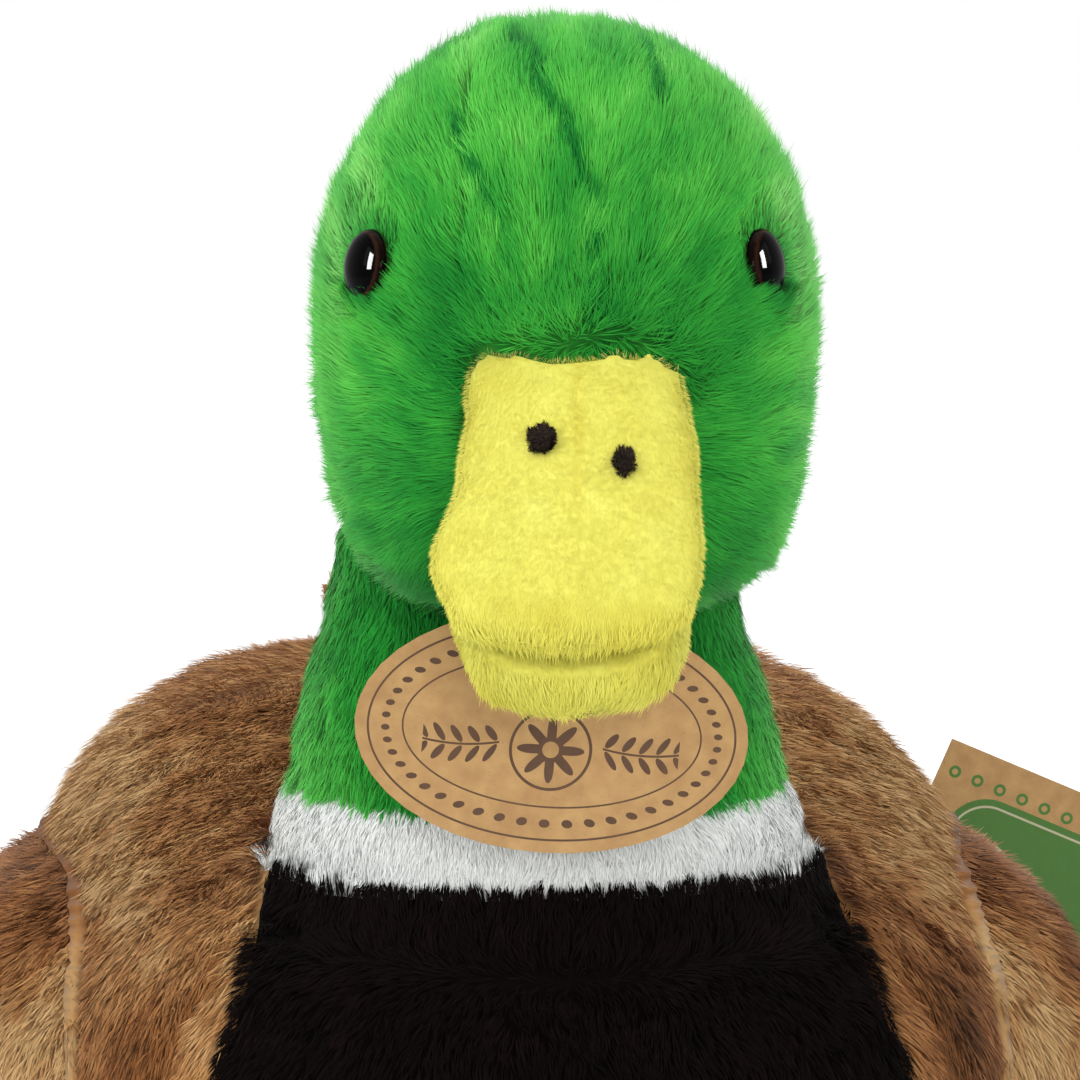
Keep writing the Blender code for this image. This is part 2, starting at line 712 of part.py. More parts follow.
def build_eye(label, side, pivot, panel, stuffing):
    """A domed safety eye, its shank through the fabric and the washer that locks it."""
    frame = eye_frame(side)
    radius = EYE_DIAMETER / 2
    floor = -EYE_SINK + SEAM_GAP
    dome = [(radius * math.cos(math.pi / 2 * i / 5),
             floor + EYE_RISE * math.sin(math.pi / 2 * i / 5)) for i in range(5)]
    shank_end = -WASHER_DEPTH - WASHER_THICKNESS - SHANK_TAIL
    profile = [(0.0, floor + EYE_RISE)] + dome[::-1]
    profile += [(SHANK_RADIUS, floor), (SHANK_RADIUS, shank_end), (0.0, shank_end)]
    bm = turned(profile, Vector((0.0, 0.0, 0.0)), EYE_SIDES)
    bmesh.ops.transform(bm, matrix=frame, verts=bm.verts)
    finish(make_object(f"eye_{label}", bm, pivot), (0.012, 0.006, 0.004), 0.05)

    bore = SHANK_RADIUS + SEAM_GAP
    washer = turned([
        (WASHER_DIAMETER / 2, -WASHER_DEPTH),
        (WASHER_DIAMETER / 2, -WASHER_DEPTH - WASHER_THICKNESS),
        (bore, -WASHER_DEPTH - WASHER_THICKNESS),
        (bore, -WASHER_DEPTH),
        (WASHER_DIAMETER / 2, -WASHER_DEPTH),
    ], Vector((0.0, 0.0, 0.0)), EYE_SIDES)
    bmesh.ops.transform(washer, matrix=frame, verts=washer.verts)
    finish(make_object(f"eye_washer_{label}", washer, pivot), (0.80, 0.80, 0.80), 0.4)

    seat = make_cutter(f"eye_seat_{label}", rod(radius + SEAM_GAP, -EYE_SINK, CUT_OVERRUN,
                                                frame, EYE_SIDES), pivot)
    hole = make_cutter(f"eye_hole_{label}", rod(bore, -CUT_OVERRUN, CUT_OVERRUN,
                                                frame, EYE_SIDES), pivot)
    pocket = make_cutter(f"eye_pocket_{label}",
                         rod(WASHER_DIAMETER / 2 + SEAM_GAP, shank_end - SEAM_GAP,
                             -WASHER_DEPTH + SEAM_GAP, frame, EYE_SIDES), pivot)
    combine(panel, "DIFFERENCE", seat, hole, pocket)
    combine(stuffing, "DIFFERENCE", pocket)


def head_slice(name, low, high, pivot):
    """A slab of the head between two places across its width."""
    reach = HEAD_HEIGHT
    front = Vector((low, -NECK_FORWARD - reach, HEAD_BOTTOM - reach))
    back = Vector((high, -NECK_FORWARD + reach, HEAD_TOP + reach))
    return make_cutter(name, box(front, back), pivot)


def build_head(pivot):
    """Two side panels, the strip between them, the stuffing, eyes and bill."""
    outer = make_cutter("head_outer", head_solid(0.0), pivot)
    inner = make_cutter("head_inner", head_solid(FABRIC), pivot)
    grown = make_cutter("head_grown", head_solid(-SEAM_GAP), pivot)
    socket_rod = rod(NECK_TOP_RADIUS + SOCKET_CLEARANCE, HEAD_BOTTOM - CUT_OVERRUN,
                     NECK_TOP_HEIGHT, Matrix.Translation(NECK_AXIS), NECK_SIDES)
    socket = make_cutter("neck_socket", socket_rod, pivot)

    edge = HEAD_SHIFT - GUSSET_WIDTH / 2
    other_edge = HEAD_SHIFT + GUSSET_WIDTH / 2
    reach = HEAD_WIDTH
    slices = {
        "head_side_right": (-reach, edge - SEAM_GAP),
        "head_gusset": (edge, other_edge),
        "head_side_left": (other_edge + SEAM_GAP, reach),
    }
    panels = {}
    for name, (low, high) in slices.items():
        region = head_slice(f"{name}_region", low, high, pivot)
        panel = combine(copy_of(outer, name, pivot), "DIFFERENCE", inner, socket)
        panels[name] = combine(panel, "INTERSECT", region)
    stuffing = make_object("head_stuffing", head_solid(FABRIC + SEAM_GAP), pivot)
    combine(stuffing, "DIFFERENCE", socket)

    for label, side in (("left", 1), ("right", -1)):
        build_eye(label, side, pivot, panels[f"head_side_{label}"], stuffing)
    for panel in panels.values():
        finish(panel, (0.012, 0.172, 0.023), 0.95)
    finish(stuffing, (0.85, 0.85, 0.83), 1.0)
    build_bill(pivot, grown)


def bill_frame():
    """A frame at the bill's root: Y runs to the tip and Z points up out of its top."""
    root = Vector((HEAD_SHIFT + BILL_SHIFT, -NECK_FORWARD - BILL_ROOT_FORWARD,
                   HEAD_BOTTOM + BILL_ROOT_RISE))
    forward = Vector((0.0, -math.cos(BILL_PITCH), -math.sin(BILL_PITCH)))
    across = Vector((-1.0, 0.0, 0.0))
    frame = Matrix((across, forward, across.cross(forward))).transposed().to_4x4()
    lean = Matrix.Rotation(BILL_SKEW, 4, "Z") @ Matrix.Rotation(BILL_ROLL, 4, "Y")
    return Matrix.Translation(root) @ frame @ lean


def bill_half(shares, length, width, thickness, drop, flat):
    """One stuffed half of the bill, flatter on the side that meets the other half."""
    rings = []
    for place, wide, thick in shares:
        ring = []
        for i in range(BILL_SIDES):
            across, up = superellipse(math.tau * i / BILL_SIDES, wide * width / 2,
                                      thick * thickness / 2, BILL_ROUNDNESS)
            if up * flat > 0:
                up = up / 2
            ring.append(Vector((across, place * length, up + drop)))
        rings.append(ring)
    bm = loft(rings, None, Vector((0.0, length, drop)))
    bmesh.ops.transform(bm, matrix=bill_frame(), verts=bm.verts)
    return bm


def build_bill(pivot, head_grown):
    """Upper and lower bill, each sewn to the face, and the stitched nostrils."""
    upper_flat, lower_flat = -1, 1
    meet = (UPPER_BILL_THICKNESS + LOWER_BILL_THICKNESS) / 4 + SEAM_GAP
    upper = make_object("bill_upper", bill_half(UPPER_BILL_SHARES, BILL_LENGTH, BILL_WIDTH,
                                                UPPER_BILL_THICKNESS, 0.0, upper_flat), pivot)
    lower = make_object("bill_lower", bill_half(LOWER_BILL_SHARES,
                                                BILL_LENGTH - LOWER_BILL_SETBACK,
                                                LOWER_BILL_WIDTH, LOWER_BILL_THICKNESS,
                                                -meet, lower_flat), pivot)
    combine(upper, "DIFFERENCE", head_grown)
    combine(lower, "DIFFERENCE", head_grown)
    for label, side in (("left", -1), ("right", 1)):
        reach = NOSTRIL_REACH - side * NOSTRIL_REACH_STEP
        wide, thick = interpolate(UPPER_BILL_SHARES, reach / BILL_LENGTH)
        across = side * NOSTRIL_SPACING / 2 - NOSTRIL_SHIFT
        off = across / (wide * BILL_WIDTH / 2)
        surface = (1 - abs(off) ** BILL_ROUNDNESS) ** (1 / BILL_ROUNDNESS)
        surface *= thick * UPPER_BILL_THICKNESS / 2
        tilt = Matrix.Rotation(math.asin(off) / 2, 4, "Y")
        frame = bill_frame() @ Matrix.Translation((across, reach, surface)) @ tilt
        long, short = NOSTRIL_LENGTH / 2, NOSTRIL_WIDTH / 2
        pad = rod(1, -NOSTRIL_POCKET_DEPTH + SEAM_GAP, NOSTRIL_RISE,
                  frame @ Matrix.Diagonal((short, long, 1, 1)), EYE_SIDES)
        finish(make_object(f"nostril_{label}", pad, pivot), (0.025, 0.017, 0.009), 0.8)
        short, long = short + NOSTRIL_CLEARANCE, long + NOSTRIL_CLEARANCE
        pocket = rod(1, -NOSTRIL_POCKET_DEPTH, CUT_OVERRUN,
                     frame @ Matrix.Diagonal((short, long, 1, 1)), EYE_SIDES)
        combine(upper, "DIFFERENCE", make_cutter(f"nostril_pocket_{label}", pocket, pivot))
    finish(upper, (0.876, 0.844, 0.144), 0.9)
    finish(lower, (0.756, 0.692, 0.123), 0.9)


def torso_side(along, height):
    """Point on the torso's left side at a share of its length and a height."""
    half_width, top, bottom = torso_section(along, 0.0)
    middle, half_height = (top + bottom) / 2, (top - bottom) / 2
    off = min(abs(height - middle) / half_height, 1.0)
    across = half_width * (1 - off ** BODY_ROUNDNESS) ** (1 / BODY_ROUNDNESS)
    return Vector((across, along * TORSO_LENGTH - TORSO_FRONT, height))


def wing_grid_point(length_place, height_place):
    """Point and outward direction of the torso under a place on the wing."""
    top, bottom = interpolate(WING_OUTLINE_SHARES, length_place)
    tall = WING_TOP - WING_BOTTOM
    low, high = WING_BOTTOM + bottom * tall, WING_BOTTOM + top * tall
    height = low + (high - low) * height_place
    back = length_place * (WING_REAR + WING_FRONT) - WING_FRONT
    along = (back + TORSO_FRONT) / TORSO_LENGTH
    small = SEAM_GAP
    here = torso_side(along, height)
    upward = torso_side(along, height + small) - here
    onward = torso_side(along + small / TORSO_LENGTH, height) - here
    return here, onward.cross(upward).normalized()


def wing_thickness(length_place, height_place):
    """Distance from the wing's back to its front, fullest in the middle."""
    fullness = (4 * length_place * (1 - length_place)) ** WING_LENGTH_POWER
    fullness *= (4 * height_place * (1 - height_place)) ** WING_HEIGHT_POWER
    return WING_EDGE_THICKNESS + (WING_THICKNESS - WING_EDGE_THICKNESS) * fullness


def wing_slab(inner_offset, crown, side):
    """A slab of the wing that follows the torso, level or with a crown on its outside."""
    bm = bmesh.new()
    bmesh.ops.create_grid(bm, x_segments=WING_LENGTH_STEPS, y_segments=WING_HEIGHT_STEPS,
                          size=1 / 2)
    places = {v: ((v.co.x + 1 / 2), (v.co.y + 1 / 2)) for v in bm.verts}
    lower = list(places)
    pushed = bmesh.ops.extrude_face_region(bm, geom=list(bm.faces))["geom"]
    upper = [item for item in pushed if isinstance(item, bmesh.types.BMVert)]
    unit = {(round(v.co.x, 4), round(v.co.y, 4)): v for v in upper}
    for vertex in lower:
        length_place, height_place = places[vertex]
        top_vertex = unit[(round(vertex.co.x, 4), round(vertex.co.y, 4))]
        here, out = wing_grid_point(length_place, height_place)
        thickness = wing_thickness(length_place, height_place) if crown else LINING_THICKNESS
        start = here + out * (WING_GAP + inner_offset)
        end = here + out * (WING_GAP + thickness)
        for target, point in ((vertex, start), (top_vertex, end)):
            target.co = Vector((side * point.x, point.y, point.z))
    return bm


def build_wing(label, side, pivot):
    """A wing's furry cover and the tan lining behind it."""
    lining = wing_slab(0.0, False, side)
    finish(make_object(f"wing_{label}_lining", lining, pivot), (0.240, 0.139, 0.061), 0.95)
    cover = wing_slab(LINING_THICKNESS + SEAM_GAP, True, side)
    finish(make_object(f"wing_{label}_cover", cover, pivot), (0.167, 0.080, 0.033), 0.95)


def foot_rings(side, low, high=None):
    """Cross-sections of a foot's layer from the heel to the toes, level or humped on top."""
    rings = []
    for step in range(FOOT_STEPS + 1):
        place = step / FOOT_STEPS
        (wide,) = interpolate(FOOT_OUTLINE_SHARES, place)
        (tall,) = interpolate(FOOT_HEIGHT_SHARES, place)
        half_width = wide * FOOT_WIDTH / 2
        top = tall * FOOT_THICKNESS if high is None else high
        middle, half_height = (low + top) / 2, (top - low) / 2
        ring = []
        for i in range(FOOT_SIDES):
            across, up = superellipse(math.tau * i / FOOT_SIDES, half_width, half_height,
                                      BILL_ROUNDNESS)
            ring.append(Vector((side * FOOT_SPACING / 2 + across,
                                -FOOT_HEEL_FORWARD - place * FOOT_LENGTH, middle + up)))
        rings.append(ring)
    return rings


def build_foot(label, side, pivot, torso_grown, floor):
    """The upper and the sole of a webbed foot."""
    sole = loft(foot_rings(side, -FLAT_DEPTH, FOOT_SOLE_THICKNESS), None, None)
    piece = make_object(f"foot_{label}_sole", sole, pivot)
    combine(piece, "DIFFERENCE", torso_grown, floor)
    finish(piece, (0.756, 0.560, 0.080), 0.9)
    upper = loft(foot_rings(side, FOOT_SOLE_THICKNESS + SEAM_GAP), None, None)
    piece = make_object(f"foot_{label}_upper", upper, pivot)
    combine(piece, "DIFFERENCE", torso_grown)
    finish(piece, (0.876, 0.760, 0.144), 0.9)


def torso_rear_seat():
    """Where the tail sits: a point high on the torso's rear, and the way out of it."""
    before, after = TORSO_RING_SHARES[-3], TORSO_RING_SHARES[-2]
    low = torso_point(after[0], math.pi / 2)
    high = torso_point(before[0], math.pi / 2)
    out = (high - low).cross(Vector((1.0, 0.0, 0.0))).normalized()
    return (low + high) / 2, out if out.y > 0 else -out


def tail_axis():
    """The middle of the tail's round root, which the tail bends about."""
    seat, out = torso_rear_seat()
    return seat + out * (TAIL_ROOT_THICKNESS / 2 + TAIL_GAP)


def tail_layer(low_share, high_share):
    """A slice of the tail between two shares of its thickness, from root to tip."""
    axis = tail_axis()
    forward = Vector((0.0, math.cos(TAIL_RISE), math.sin(TAIL_RISE)))
    up = Vector((0.0, -math.sin(TAIL_RISE), math.cos(TAIL_RISE)))
    rings = []
    for step in range(TAIL_STEPS + 1):
        place = step / TAIL_STEPS
        (width, thickness) = interpolate([
            (0.0, TAIL_ROOT_WIDTH, TAIL_ROOT_THICKNESS),
            (TAIL_BROAD_SHARE, TAIL_MIDDLE_WIDTH, TAIL_ROOT_THICKNESS),
            (1.0, TAIL_TIP_WIDTH, TAIL_TIP_THICKNESS),
        ], place)
        rings.append((place * TAIL_LENGTH, width, thickness))
    bend = TAIL_ROOT_THICKNESS / 2
    lead = [(-bend * math.cos(angle), TAIL_ROOT_WIDTH, 2 * bend * math.sin(angle))
            for angle in (math.pi * 3 / 16, math.pi * 5 / 16)]
    loops = []
    for reach, width, thickness in lead + rings:
        low, high = low_share * thickness / 2, high_share * thickness / 2
        gap = SEAM_GAP / 2
        low, high = (low + gap, high) if high_share > 0 else (low, high - gap)
        ring = []
        for i in range(TAIL_SIDES):
            across, rise = superellipse(math.tau * i / TAIL_SIDES, width / 2,
                                        (high - low) / 2, BILL_ROUNDNESS)
            ring.append(axis + forward * reach + up * ((low + high) / 2 + rise)
                        + Vector((across, 0.0, 0.0)))
        loops.append(ring)
    return loft(loops, None, None)


def build_tail(pivot):
    """The upper and lower layer of the stubby tail."""
    upper = make_object("tail_upper", tail_layer(0.0, 1.0), pivot)
    finish(upper, (0.456, 0.277, 0.138), 0.95)
    lower = make_object("tail_lower", tail_layer(-1.0, 0.0), pivot)
    finish(lower, (0.240, 0.139, 0.061), 0.95)


def card(outline, frame):
    """A flat card in a frame's XY plane, as thick as the tags are."""
    bm = prism([Vector((*point, -CARD_THICKNESS / 2)) for point in outline],
               Vector((0.0, 0.0, CARD_THICKNESS)))
    bmesh.ops.transform(bm, matrix=frame, verts=bm.verts)
    return bm


def punch(piece, frame, pivot):
    """The round hole that the loop goes through."""
    hole = rod(CARD_HOLE_DIAMETER / 2, -CUT_OVERRUN, CUT_OVERRUN, frame, EYE_SIDES)
    return combine(piece, "DIFFERENCE", make_cutter(f"{piece.name}_hole", hole, pivot))


def strand(name, points, pivot):
    """A nylon strand through its points, smooth and round."""
    curve = bpy.data.curves.new(name, "CURVE")
    curve.dimensions = "3D"
    curve.bevel_depth = STRAND_RADIUS
    curve.bevel_resolution = 1
    curve.use_fill_caps = True
    spline = curve.splines.new("POLY")
    smooth = smooth_path(points, STRAND_STEPS)
    spline.points.add(len(smooth) - 1)
    shift = pivot.location if pivot is not None else Vector((0.0, 0.0, 0.0))
    for target, point in zip(spline.points, smooth):
        target.co = (*(point - shift), 1.0)
    made = bpy.data.objects.new(name, curve)
    bpy.context.collection.objects.link(made)
    made.parent = pivot
    curve.materials.append(make_material(name, (0.75, 0.75, 0.73), 0.3))
    return made


def smooth_path(points, steps):
    """A smooth curve through a few points, as many short straight steps."""
    rows = [(index, *point) for index, point in enumerate(points)]
    total = (len(points) - 1) * steps
    return [Vector(interpolate(rows, i / steps)) for i in range(total + 1)]


def way_round_edge(hole, inset, toward_edge, toward_seat):
    """The strand's way through a card's hole and round its edge, clear of the swinging card."""
    reach = inset + LOOP_ROOM
    points = [hole + toward_seat * LOOP_PASS, hole, hole - toward_seat * LOOP_PASS]
    for angle in LOOP_ANGLES:
        points.append(hole + (toward_edge * math.cos(angle) + toward_seat * math.sin(angle)) * reach)
    return points


def front_tag_frame():
    """A frame at the front tag's hole: X to the duck's left, Y up and Z ahead of it."""
    height = NECK_TOP_HEIGHT + FRONT_TAG_RISE - FRONT_TAG_HOLE_INSET
    hole = Vector((FRONT_TAG_SHIFT, -NECK_FORWARD - FRONT_TAG_FORWARD, height))
    upright = Matrix.Rotation(math.pi / 2, 4, "X")
    return Matrix.Translation(hole) @ upright @ Matrix.Rotation(-FRONT_TAG_ROLL, 4, "Z")


def build_front_tag(pivot):
    """An oval card that hangs from the neck on a nylon loop."""
    frame = front_tag_frame()
    middle = FRONT_TAG_HEIGHT / 2 - FRONT_TAG_HOLE_INSET
    outline = [(FRONT_TAG_WIDTH / 2 * math.cos(math.tau * i / CARD_SIDES),
                FRONT_TAG_HEIGHT / 2 * math.sin(math.tau * i / CARD_SIDES) - middle)
               for i in range(CARD_SIDES)]
    tag = make_object("front_tag", card(outline, frame), pivot)
    finish(punch(tag, frame, pivot), (0.43, 0.26, 0.11), 0.8)

    hole = frame.translation
    seats = []
    for drop in (LOOP_LOW_DROP, LOOP_HIGH_DROP):
        height = NECK_TOP_HEIGHT - drop
        seats.append(Vector((hole.x, -NECK_FORWARD - neck_radius(height) - SEAM_GAP, height)))
    way = way_round_edge(hole, FRONT_TAG_HOLE_INSET, Vector((0.0, 0.0, 1.0)),
                         Vector((0.0, 1.0, 0.0)))
    strand("front_tag_loop", [seats[0]] + way + [seats[1]], None)


def side_tag_frame():
    """A frame at the side tag's hole: X along the card, Y across it and Z ahead of it."""
    corner = Vector((TORSO_WIDTH / 2 + SIDE_TAG_OUT, WING_REAR - SIDE_TAG_AHEAD,
                     WING_TOP + SIDE_TAG_CORNER_RISE))
    upright = Matrix.Rotation(math.pi / 2, 4, "X") @ Matrix.Rotation(-SIDE_TAG_ROLL, 4, "Z")
    hole = Matrix.Translation((SIDE_TAG_HOLE_INSET, -SIDE_TAG_WIDTH / 2, 0.0))
    return Matrix.Translation(corner) @ upright @ hole


def build_side_tag(pivot, wing_pivot):
    """A rectangular card that hangs from the left wing on a nylon loop."""
    frame = side_tag_frame()
    left, right = -SIDE_TAG_HOLE_INSET, SIDE_TAG_LENGTH - SIDE_TAG_HOLE_INSET
    low, high = -SIDE_TAG_WIDTH / 2, SIDE_TAG_WIDTH / 2
    outline = [(left, low), (right, low), (right, high), (left, high)]
    tag = make_object("side_tag", card(outline, frame), pivot)
    finish(punch(tag, frame, pivot), (0.43, 0.26, 0.11), 0.8)

    hole = frame.translation
    ahead = frame.to_3x3() @ Vector((0.0, 0.0, 1.0))
    inward = frame.to_3x3() @ Vector((-1.0, 0.0, 0.0))
    way = way_round_edge(hole, SIDE_TAG_HOLE_INSET, inward, ahead)
    seat_front = wing_surface(SIDE_LOOP_PLACE_SHARE - SIDE_LOOP_SPREAD_SHARE)
    seat_rear = wing_surface(SIDE_LOOP_PLACE_SHARE)
    strand("side_tag_loop", [seat_front] + way + [seat_rear], wing_pivot)


def wing_surface(length_place):
    """A point a seam's gap outside the left wing's cover, at the loop's height."""
    here, out = wing_grid_point(length_place, SIDE_LOOP_HEIGHT_SHARE)
    thickness = wing_thickness(length_place, SIDE_LOOP_HEIGHT_SHARE)
    return here + out * (WING_GAP + thickness + SEAM_GAP + STRAND_RADIUS)


def care_label_hinge():
    """The label's inner edge, whose top just clears the torso's rearmost seam."""
    below = torso_point(TORSO_RING_SHARES[-1][0], -math.pi / 2)
    pole = Vector((0.0, TORSO_REAR, TORSO_REAR_POLE_SHARE * TORSO_HEIGHT))
    top = pole.z - CARE_LABEL_DROP
    rise = (top - below.z) / (pole.z - below.z)
    rear = below.y + (pole.y - below.y) * rise + SEAM_GAP
    return Vector((0.0, rear, top - CARE_LABEL_HEIGHT / 2))


def build_care_label(pivot):
    """A bare ribbon label that stands out of the seam between the flanks."""
    half = Vector((CARE_LABEL_THICKNESS / 2, 0.0, CARE_LABEL_HEIGHT / 2))
    low, high = pivot.location - half, pivot.location + half
    high.y += CARE_LABEL_LENGTH
    label = make_object("care_label", box(low, high), pivot)
    finish(label, (0.80, 0.80, 0.78), 0.9)


clear_scene()
build_torso()
build_neck()
head_pivot = make_pivot("head_pivot", NECK_AXIS, HEAD_TURN)
build_head(head_pivot)
torso_grown = torso_form("torso_grown", -SEAM_GAP)
under_floor = -Vector((TORSO_LENGTH, TORSO_LENGTH, TORSO_LENGTH))
floor_cutter = make_cutter("floor", box(under_floor, Vector((TORSO_LENGTH, TORSO_LENGTH, 0.0))))
for wing_label, wing_side in (("left", 1), ("right", -1)):
    top_edge = torso_side(WING_HINGE_PLACE_SHARE, WING_TOP)
    hinge = Vector((wing_side * (top_edge.x - WING_HINGE_INSET), 0.0, WING_TOP + WING_HINGE_RISE))
    wing_pivot = make_pivot(f"wing_{wing_label}_pivot", hinge)
    build_wing(wing_label, wing_side, wing_pivot)
    heel = Vector((wing_side * FOOT_SPACING / 2, -FOOT_HEEL_FORWARD, 0.0))
    foot_pivot = make_pivot(f"foot_{wing_label}_pivot", heel)
    build_foot(wing_label, wing_side, foot_pivot, torso_grown, floor_cutter)
build_tail(make_pivot("tail_pivot", tail_axis()))
build_front_tag(make_pivot("front_tag_pivot", front_tag_frame().translation))
side_tag_pivot = make_pivot("side_tag_pivot", side_tag_frame().translation)
build_side_tag(side_tag_pivot, bpy.data.objects["wing_left_pivot"])
build_care_label(make_pivot("care_label_pivot", care_label_hinge()))
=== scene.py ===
import math

import bmesh
import bpy
import numpy as np
from mathutils import Matrix, Vector, kdtree
from mathutils.bvhtree import BVHTree


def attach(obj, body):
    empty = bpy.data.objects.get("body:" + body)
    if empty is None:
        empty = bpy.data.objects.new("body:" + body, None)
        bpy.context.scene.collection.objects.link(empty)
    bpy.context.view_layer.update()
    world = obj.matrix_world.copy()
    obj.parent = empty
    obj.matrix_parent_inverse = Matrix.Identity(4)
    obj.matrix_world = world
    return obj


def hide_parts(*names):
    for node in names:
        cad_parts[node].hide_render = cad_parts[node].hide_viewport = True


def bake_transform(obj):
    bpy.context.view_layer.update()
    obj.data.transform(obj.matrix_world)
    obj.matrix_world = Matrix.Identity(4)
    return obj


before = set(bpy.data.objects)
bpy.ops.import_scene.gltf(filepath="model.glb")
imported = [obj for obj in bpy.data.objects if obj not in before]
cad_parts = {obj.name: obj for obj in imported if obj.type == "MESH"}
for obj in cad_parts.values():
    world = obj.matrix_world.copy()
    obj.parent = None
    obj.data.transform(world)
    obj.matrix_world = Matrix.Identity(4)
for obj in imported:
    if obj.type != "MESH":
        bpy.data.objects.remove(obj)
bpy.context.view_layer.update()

# Camera: a long lens a little above the duck's chest, just to its right side,
# as a product photographer frames a toy's face on a table.
camera_data = bpy.data.cameras.new("camera")
camera_data.sensor_width = 36.0
camera_data.lens = 201.0
camera = bpy.data.objects.new("camera", camera_data)
camera.location = Vector((-0.0870, -0.9526, 0.2839))
camera_aim = Vector((-0.0017, -0.0666, 0.1509)) - camera.location
camera.rotation_euler = camera_aim.to_track_quat("-Z", "Y").to_euler()
bpy.context.scene.collection.objects.link(camera)
bpy.context.scene.camera = camera

# Studio: soft lamps on both sides and above, and a pale table and wall that
# show white to the camera but throw only a plain light on the toy.
bpy.context.scene.view_settings.view_transform = "Standard"
world = bpy.data.worlds.new("studio")
bpy.context.scene.world = world
world.use_nodes = True
nodes, links = world.node_tree.nodes, world.node_tree.links


def seen_directly(nodes, links, plain, shown):
    """A strength that is one value for lighting and another where a ray shows the backdrop."""
    path = nodes.new("ShaderNodeLightPath")
    seen = path.outputs["Is Camera Ray"]
    for ray in ("Is Glossy Ray", "Is Transmission Ray"):
        either = nodes.new("ShaderNodeMath")
        either.operation = "MAXIMUM"
        links.new(seen, either.inputs[0])
        links.new(path.outputs[ray], either.inputs[1])
        seen = either.outputs[0]
    strength = nodes.new("ShaderNodeMix")
    strength.inputs["A"].default_value = plain
    strength.inputs["B"].default_value = shown
    links.new(seen, strength.inputs["Factor"])
    return strength.outputs["Result"]


background = nodes["Background"]
background.inputs["Color"].default_value = (1.0, 1.0, 1.0, 1.0)
links.new(seen_directly(nodes, links, 0.50, 1.0), background.inputs["Strength"])

for lamp_name, lamp_place, lamp_width, lamp_height, lamp_power in (
        ("lamp_front", (0.02, -1.15, 0.42), 0.22, 0.30, 3.4),
        ("lamp_left", (-0.85, -0.35, 0.60), 0.60, 0.60, 4.2),
        ("lamp_right", (0.90, -0.25, 0.60), 0.60, 0.60, 2.4),
        ("lamp_top", (0.0, 0.10, 1.05), 0.80, 0.80, 3.2)):
    lamp_data = bpy.data.lights.new(lamp_name, "AREA")
    lamp_data.shape = "RECTANGLE"
    lamp_data.size = lamp_width
    lamp_data.size_y = lamp_height
    lamp_data.energy = lamp_power
    lamp = bpy.data.objects.new(lamp_name, lamp_data)
    lamp.location = lamp_place
    lamp_aim = Vector((0.0, -0.03, 0.13)) - lamp.location
    lamp.rotation_euler = lamp_aim.to_track_quat("-Z", "Y").to_euler()
    bpy.context.scene.collection.objects.link(lamp)

table = bmesh.new()
bmesh.ops.create_grid(table, x_segments=1, y_segments=1, size=3.0,
                      matrix=Matrix.Translation((0.0, 0.0, -0.0004)))
table_mesh = bpy.data.meshes.new("table_top")
table.to_mesh(table_mesh)
table.free()
table_top = bpy.data.objects.new("table_top", table_mesh)
bpy.context.scene.collection.objects.link(table_top)
paper = bpy.data.materials.new("pale_paper")
paper.use_nodes = True
nodes, links = paper.node_tree.nodes, paper.node_tree.links
paper_shader = nodes["Principled BSDF"]
paper_shader.inputs["Base Color"].default_value = (0.90, 0.90, 0.90, 1.0)
paper_shader.inputs["Roughness"].default_value = 0.9
paper_shader.inputs["Emission Color"].default_value = (1.0, 1.0, 1.0, 1.0)
links.new(seen_directly(nodes, links, 0.0, 0.50), paper_shader.inputs["Emission Strength"])
table_mesh.materials.append(paper)

# Torso cover: panels of pile fabric sewn over the stuffing. The skin is drawn round
# the stuffed forms, then cut along the seams of the belly, bib, back, flanks,
# collar and neck. Each panel is a thin closed sheet that carries its own pile.
PILE_LEVELS = 128
BACKING = 0.0016
SOFTNESS = 1.0


def copied_solids(names):
    """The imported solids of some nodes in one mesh, with their doubles merged."""
    solids = bmesh.new()
    for name in names:
        solids.from_mesh(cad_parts[name].data)
    bmesh.ops.remove_doubles(solids, verts=solids.verts, dist=0.00001)
    return solids


def stuffed_form(names, voxel, rounds, inset):
    """A smooth skin round some solids, as stuffing pushes a cover out."""
    solids = copied_solids(names)
    rough = bpy.data.meshes.new("rough_form")
    solids.to_mesh(rough)
    solids.free()
    blank = bpy.data.objects.new("rough_form", rough)
    bpy.context.scene.collection.objects.link(blank)
    remesh = blank.modifiers.new("remesh", "REMESH")
    remesh.mode = "VOXEL"
    remesh.voxel_size = voxel
    soften = blank.modifiers.new("soften", "SMOOTH")
    soften.factor = 0.5
    soften.iterations = rounds
    bpy.context.view_layer.update()
    graph = bpy.context.evaluated_depsgraph_get()
    shaped = bpy.data.meshes.new_from_object(blank.evaluated_get(graph))
    bpy.data.objects.remove(blank)
    form = bmesh.new()
    form.from_mesh(shaped)
    bpy.data.meshes.remove(shaped)
    form.normal_update()
    for vert in form.verts:
        vert.co -= vert.normal * inset
    form.normal_update()
    return form


def cut_seam(form, place, across):
    """Cut a form's faces along a plane, so that two panels can meet there."""
    everything = list(form.verts) + list(form.edges) + list(form.faces)
    bmesh.ops.bisect_plane(form, geom=everything, dist=0.00002, plane_co=place, plane_no=across)


def panel_of(form, keeps):
    """The sheet of a form's faces that one panel covers."""
    form.normal_update()
    panel = form.copy()
    spare = [face for face in panel.faces if not keeps(face)]
    bmesh.ops.delete(panel, geom=spare, context="FACES")
    for vert in panel.verts:
        if vert.is_boundary:
            vert.co -= vert.normal * BACKING / 3
    return panel


def unit(vectors):
    """Each row of an array at length one."""
    return vectors / np.maximum(np.linalg.norm(vectors, axis=1, keepdims=True), 1e-9)


